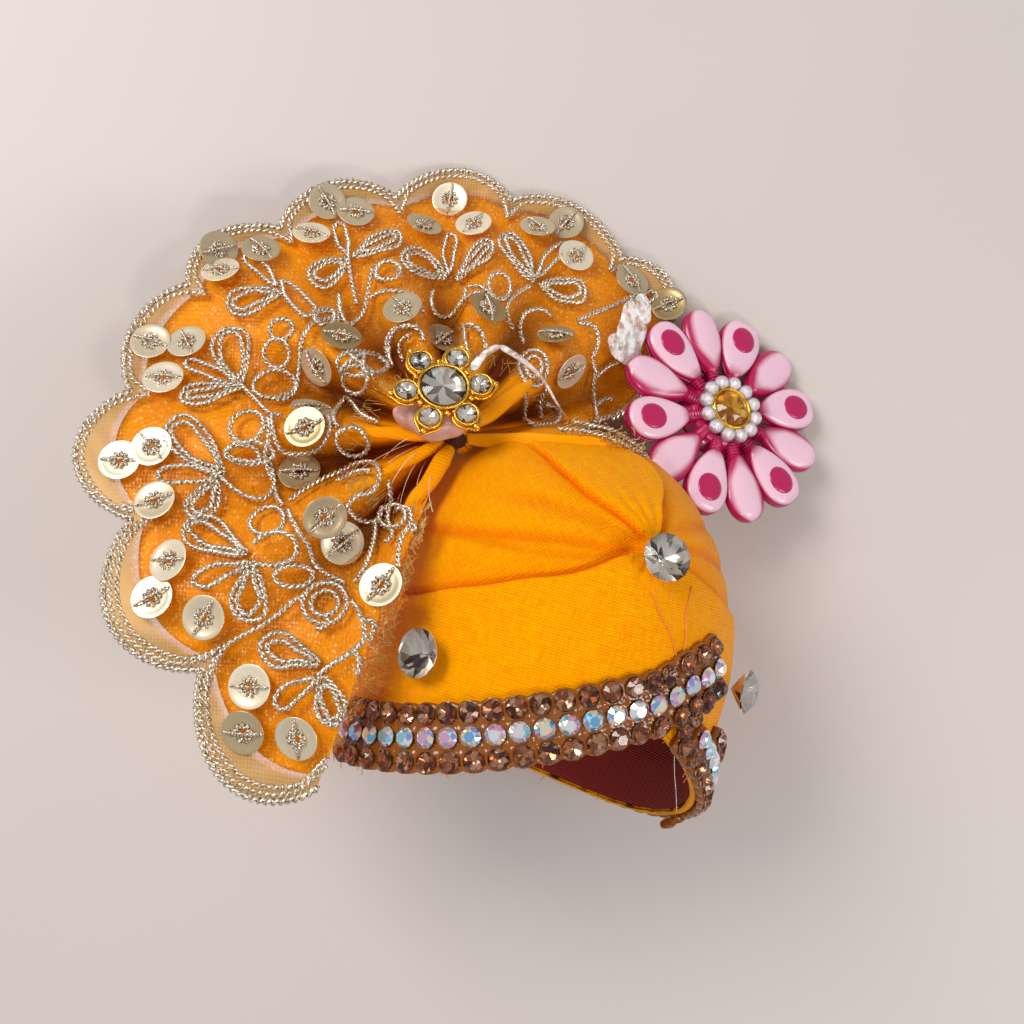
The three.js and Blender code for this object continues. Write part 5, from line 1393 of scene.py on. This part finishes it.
# The flower: moulded two-colour resin. Six flat petals with a magenta eye and six rounded ones stand in
# turn on a magenta hub by short threaded necks; a gilt cup with clear balls and a yellow stone covers it.
def resin(name, low, high, roughness=0.3):
    """Polished resin with colour that swirls a little under the surface"""
    material, tree, shader = new_finish(name,
                                        {"Roughness": roughness, "IOR": 1.5, "Coat Weight": 0.35,
                                         "Coat Roughness": 0.15, "Subsurface Weight": 0.15,
                                         "Subsurface Scale": 0.0008})
    swirl = add_node(tree, "TexNoise", {"Scale": 330.0, "Detail": 3.0, "Distortion": 0.6})
    pale = add_node(tree, "Attribute", {}, attribute_name="pale")
    shifted = add_node(tree, "Math", {0: swirl, 1: 0.5, 2: pale.outputs["Fac"]}, operation="MULTIPLY_ADD")
    edge = add_node(tree, "MapRange", {"Value": shifted, "From Min": 0.42, "From Max": 0.85})
    mixed = add_node(tree, "Mix", {"Factor": edge, "A": low, "B": high}, data_type="RGBA")
    feed(shader, {"Base Color": mixed})
    return material


two_tone_resin = resin("pink_and_magenta_resin", "#b00c50", "#ecc2d4")
magenta_resin = resin("magenta_resin", "#98084a", "#c8145c")
flower_place = np.array((33.88, 9.178, 8.4))
flower_stand = stand_up((0.41, 0.29, 0.865), 0)
petal_rings, petal_sides = 34, 32


def on_flower(parts):
    """Parts made round the flower's own axis, laid where the flower is"""
    return [(flower_place + points @ flower_stand.T, faces) for points, faces in parts]


for kind, first_petal, width, squareness in (("eye", 0, 7.9, 3.4), ("round", 1, 7.5, 2.2)):
    shapes, pales = [], []
    for k in range(first_petal, 12, 2):
        turn_petal = np.array(Matrix.Rotation(np.radians(9 + 30 * k), 3, "Z"))
        stations = np.linspace(0.02, np.pi - 0.02, petal_rings)
        out = (1 - np.cos(stations)) / 2
        half = 0.5 * width * np.sin(stations) * (0.42 + 0.58 * out ** 0.8)
        thick = 1.3 * np.clip(np.sin(stations) * 1.6, 0.12, 1) ** 0.6
        ring = 2 * np.pi * np.arange(petal_sides) / petal_sides
        flat = 2 / squareness
        ring_y = np.sign(np.cos(ring)) * np.abs(np.cos(ring)) ** flat
        ring_z = np.sign(np.sin(ring)) * np.abs(np.sin(ring)) ** flat
        shell = np.stack((5.6 + 9.8 * out[:, None] + 0 * ring, half[:, None] * ring_y,
                          thick[:, None] * ring_z), -1).reshape(-1, 3)
        faces = [tuple(f) for f in grid_faces(petal_rings, petal_sides)]
        starts = petal_sides * np.arange(petal_rings).astype(int)
        faces += [(i + petal_sides - 1, i, j, j + petal_sides - 1) for i, j in zip(starts, starts[1:])]
        faces += [tuple(range(petal_sides)), tuple(reversed([starts[-1] + j for j in range(petal_sides)]))]
        shapes.append((shell @ turn_petal.T, [f[::-1] for f in faces]))
        side_share = np.abs(shell[:, 1]) / (np.repeat(half, petal_sides) + 0.01)
        out = np.repeat(out, petal_sides)
        if kind == "eye":
            pales.append(np.clip((shell[:, 2] - 0.45) / 0.7, 0, 1) * np.clip(0.1 + 2.6 * out, 0, 0.85))
        else:
            # On the round petals the pale top is partly the moulded pink layer and partly painted light: a
            # painted highlight along the top, and the term in y paints one side darker as shade
            lean = shell[:, 2] / 1.3 - 1.15 * side_share ** 2 - 0.3 * shell[:, 1] / 2.8
            pales.append(np.clip(0.3 + 0.62 * lean - 2.2 * np.clip(0.4 - out, 0, 1), 0, 0.8))
    petals = bundle(kind + "_petals", on_flower(shapes), two_tone_resin)
    set_point_value(petals, "pale", np.concatenate(pales))
    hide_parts(*["flower_petal_%d" % (k + 1) for k in range(first_petal, 12, 2)])
hub_parts = [lathe(((0.02, -1.3), (6.0, -1.3), (6.3, -1.0), (6.0, -0.7), (5.0, -0.5), (4.9, 0.1), (4.4, 0.55),
                    (3.2, 0.6), (0.02, 0.6)), 60)]
for k in range(12):
    turn_petal = np.array(Matrix.Rotation(np.radians(9 + 30 * k), 3, "Z"))
    run = np.linspace(0, 1, 45)
    ridges = 0.78 + 0.12 * np.sin(run * 2 * np.pi * 7) + 0.1 * run
    neck_points, neck_faces = lathe(np.stack((ridges, 3.9 + 3.1 * run), -1), 14)
    laid = np.stack((neck_points[:, 2], neck_points[:, 0], neck_points[:, 1] + 0.15), -1)
    hub_parts.append((laid @ turn_petal.T, neck_faces))
    if k % 2 == 0:
        eye, eye_faces = lathe(((0.02, 0.05), (1.1, 0.03), (1.42, -0.04), (1.56, -0.18), (1.58, -0.4)), 28)
        eye = eye * np.array((1.28, 1.14, 1)) + np.array((11.9, 0, 1.46))
        hub_parts.append((eye @ turn_petal.T, [f[::-1] for f in eye_faces]))
hub = bundle("flower_hub_and_eyes", on_flower(hub_parts), magenta_resin)
set_point_value(hub, "pale", np.full(sum(len(p) for p, f in hub_parts), 0.42))
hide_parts("flower_core")
cup_parts = [lathe(((0.02, 0.9), (3.4, 0.9), (3.6, 1.05), (3.6, 1.9), (3.3, 2.15), (2.95, 2.2), (2.95, 2.55),
                    (2.8, 2.68), (2.62, 2.6), (2.6, 1.6), (0.02, 1.6)), 48)]
gold_cup = bundle("flower_cup", on_flower(cup_parts), gilt)
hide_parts("flower_bezel")
ball_turns = np.radians(30 * np.arange(12) + 15)
clear_balls = [ball(1.02, (3.85 * np.cos(turn), 3.85 * np.sin(turn), 2.1), 18) for turn in ball_turns]
crystal_ball, tree, shader = new_finish("silvered_crystal_ball",
                                        {"Metallic": 0.7, "Roughness": 0.09, "Coat Weight": 1.0,
                                         "Coat Roughness": 0.02})
flaw = add_node(tree, "TexVoronoi", {"Scale": 1500.0})
flaw_tone = add_node(tree, "MapRange", {"Value": flaw, "From Min": 0.1, "From Max": 0.7})
silver_tone = add_node(tree, "Mix", {"Factor": flaw_tone, "A": "#ffffff", "B": "#cfc9d6"}, data_type="RGBA")
feed(shader, {"Base Color": silver_tone})
bump = add_node(tree, "Bump", {"Height": flaw, "Strength": 0.4, "Distance": 0.0001})
feed(shader, {"Normal": bump})
bundle("flower_balls", on_flower(clear_balls), crystal_ball)
citrine_glass = stone_glass("citrine_glass", "#f8d468")
# The foil's tones facet by facet are painted reflections and glints in amber and yellow
citrine_foil = stone_foil("citrine_foil", ((0.0, "#b07c10"), (0.25, "#dca820"), (0.5, "#f8d040"),
                                           (0.75, "#d8a818"), (0.9, "#fff4b8")), 0.2, 0.5)
flower_normal = flower_stand[:, 2]
citrine = set_stones("flower_citrine", brilliant(8, 2.5, 0.95, 0.6, 0.55),
                     [(flower_place + flower_normal * 2.35, flower_normal)], citrine_glass, citrine_foil, 31)
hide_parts("flower_stone")


# Loose ends: two orange threads hang down the brow from the peak, a pale one spans the opening, and fine
# hairs of glue stand between the pleats.
loose = []
for rows in (((-13.5, 11.1), (-11, 9.9), (-7.5, 8.4), (-5, 7.5), (-2.5, 6.2), (0, 4.7)),
             ((2.5, 13.2), (1.2, 11.4), (0.6, 9.6), (1.4, 8.1), (1.8, 6.4), (1, 4.8))):
    rows = np.array(rows, float)
    loose.append(strand(from_cap(on_cap(np.radians(rows[:, 0]), rows[:, 1], 0.32)), 0.07))
for k in range(34):
    turn = np.radians(spin.uniform(-170, 170))
    run = np.linspace(0, 1, 4)
    lean = spin.gauss(0, 0.03)
    droop = spin.uniform(0.4, 1.6)
    height = rim_height(turn) + 0.35 - droop * run
    hanging = on_cap(turn + lean * run, np.minimum(height, -0.1), -0.2 - 0.5 * run)
    loose.append(strand(from_cap(hanging), 0.05))
saffron_thread, tree, shader = new_finish("saffron_thread", {"Roughness": 0.5, "Sheen Weight": 0.2})
mottle = add_node(tree, "TexNoise", {"Scale": 1200.0})
thread_tone = add_node(tree, "Mix", {"Factor": mottle, "A": "#e05a00", "B": "#ffa020"}, data_type="RGBA")
feed(shader, {"Base Color": thread_tone})
bundle("loose_silk_threads", loose, saffron_thread)
pale = [strand(((23.4, -30.9, 38.0), (24.2, -34.6, 32.0), (25.2, -38.5, 26.0), (26.0, -42.0, 20.7)), 0.06)]
for k in range(7):
    start = spin.uniform(176, 240)
    run = np.linspace(0, 1, 4)
    pale.append(strand(fan_point(start + spin.uniform(5, 22) * run, 4.5 + spin.uniform(3, 7) * run, 1.0)
                       + np.stack((0 * run, 0 * run, 1.4 * np.sin(np.pi * run)), -1), 0.045))
hair_white = glue_material("glue_hair", "#e8d8cc", "#fff8f0", 0.3)
bundle("fine_glue_hairs", pale, hair_white)
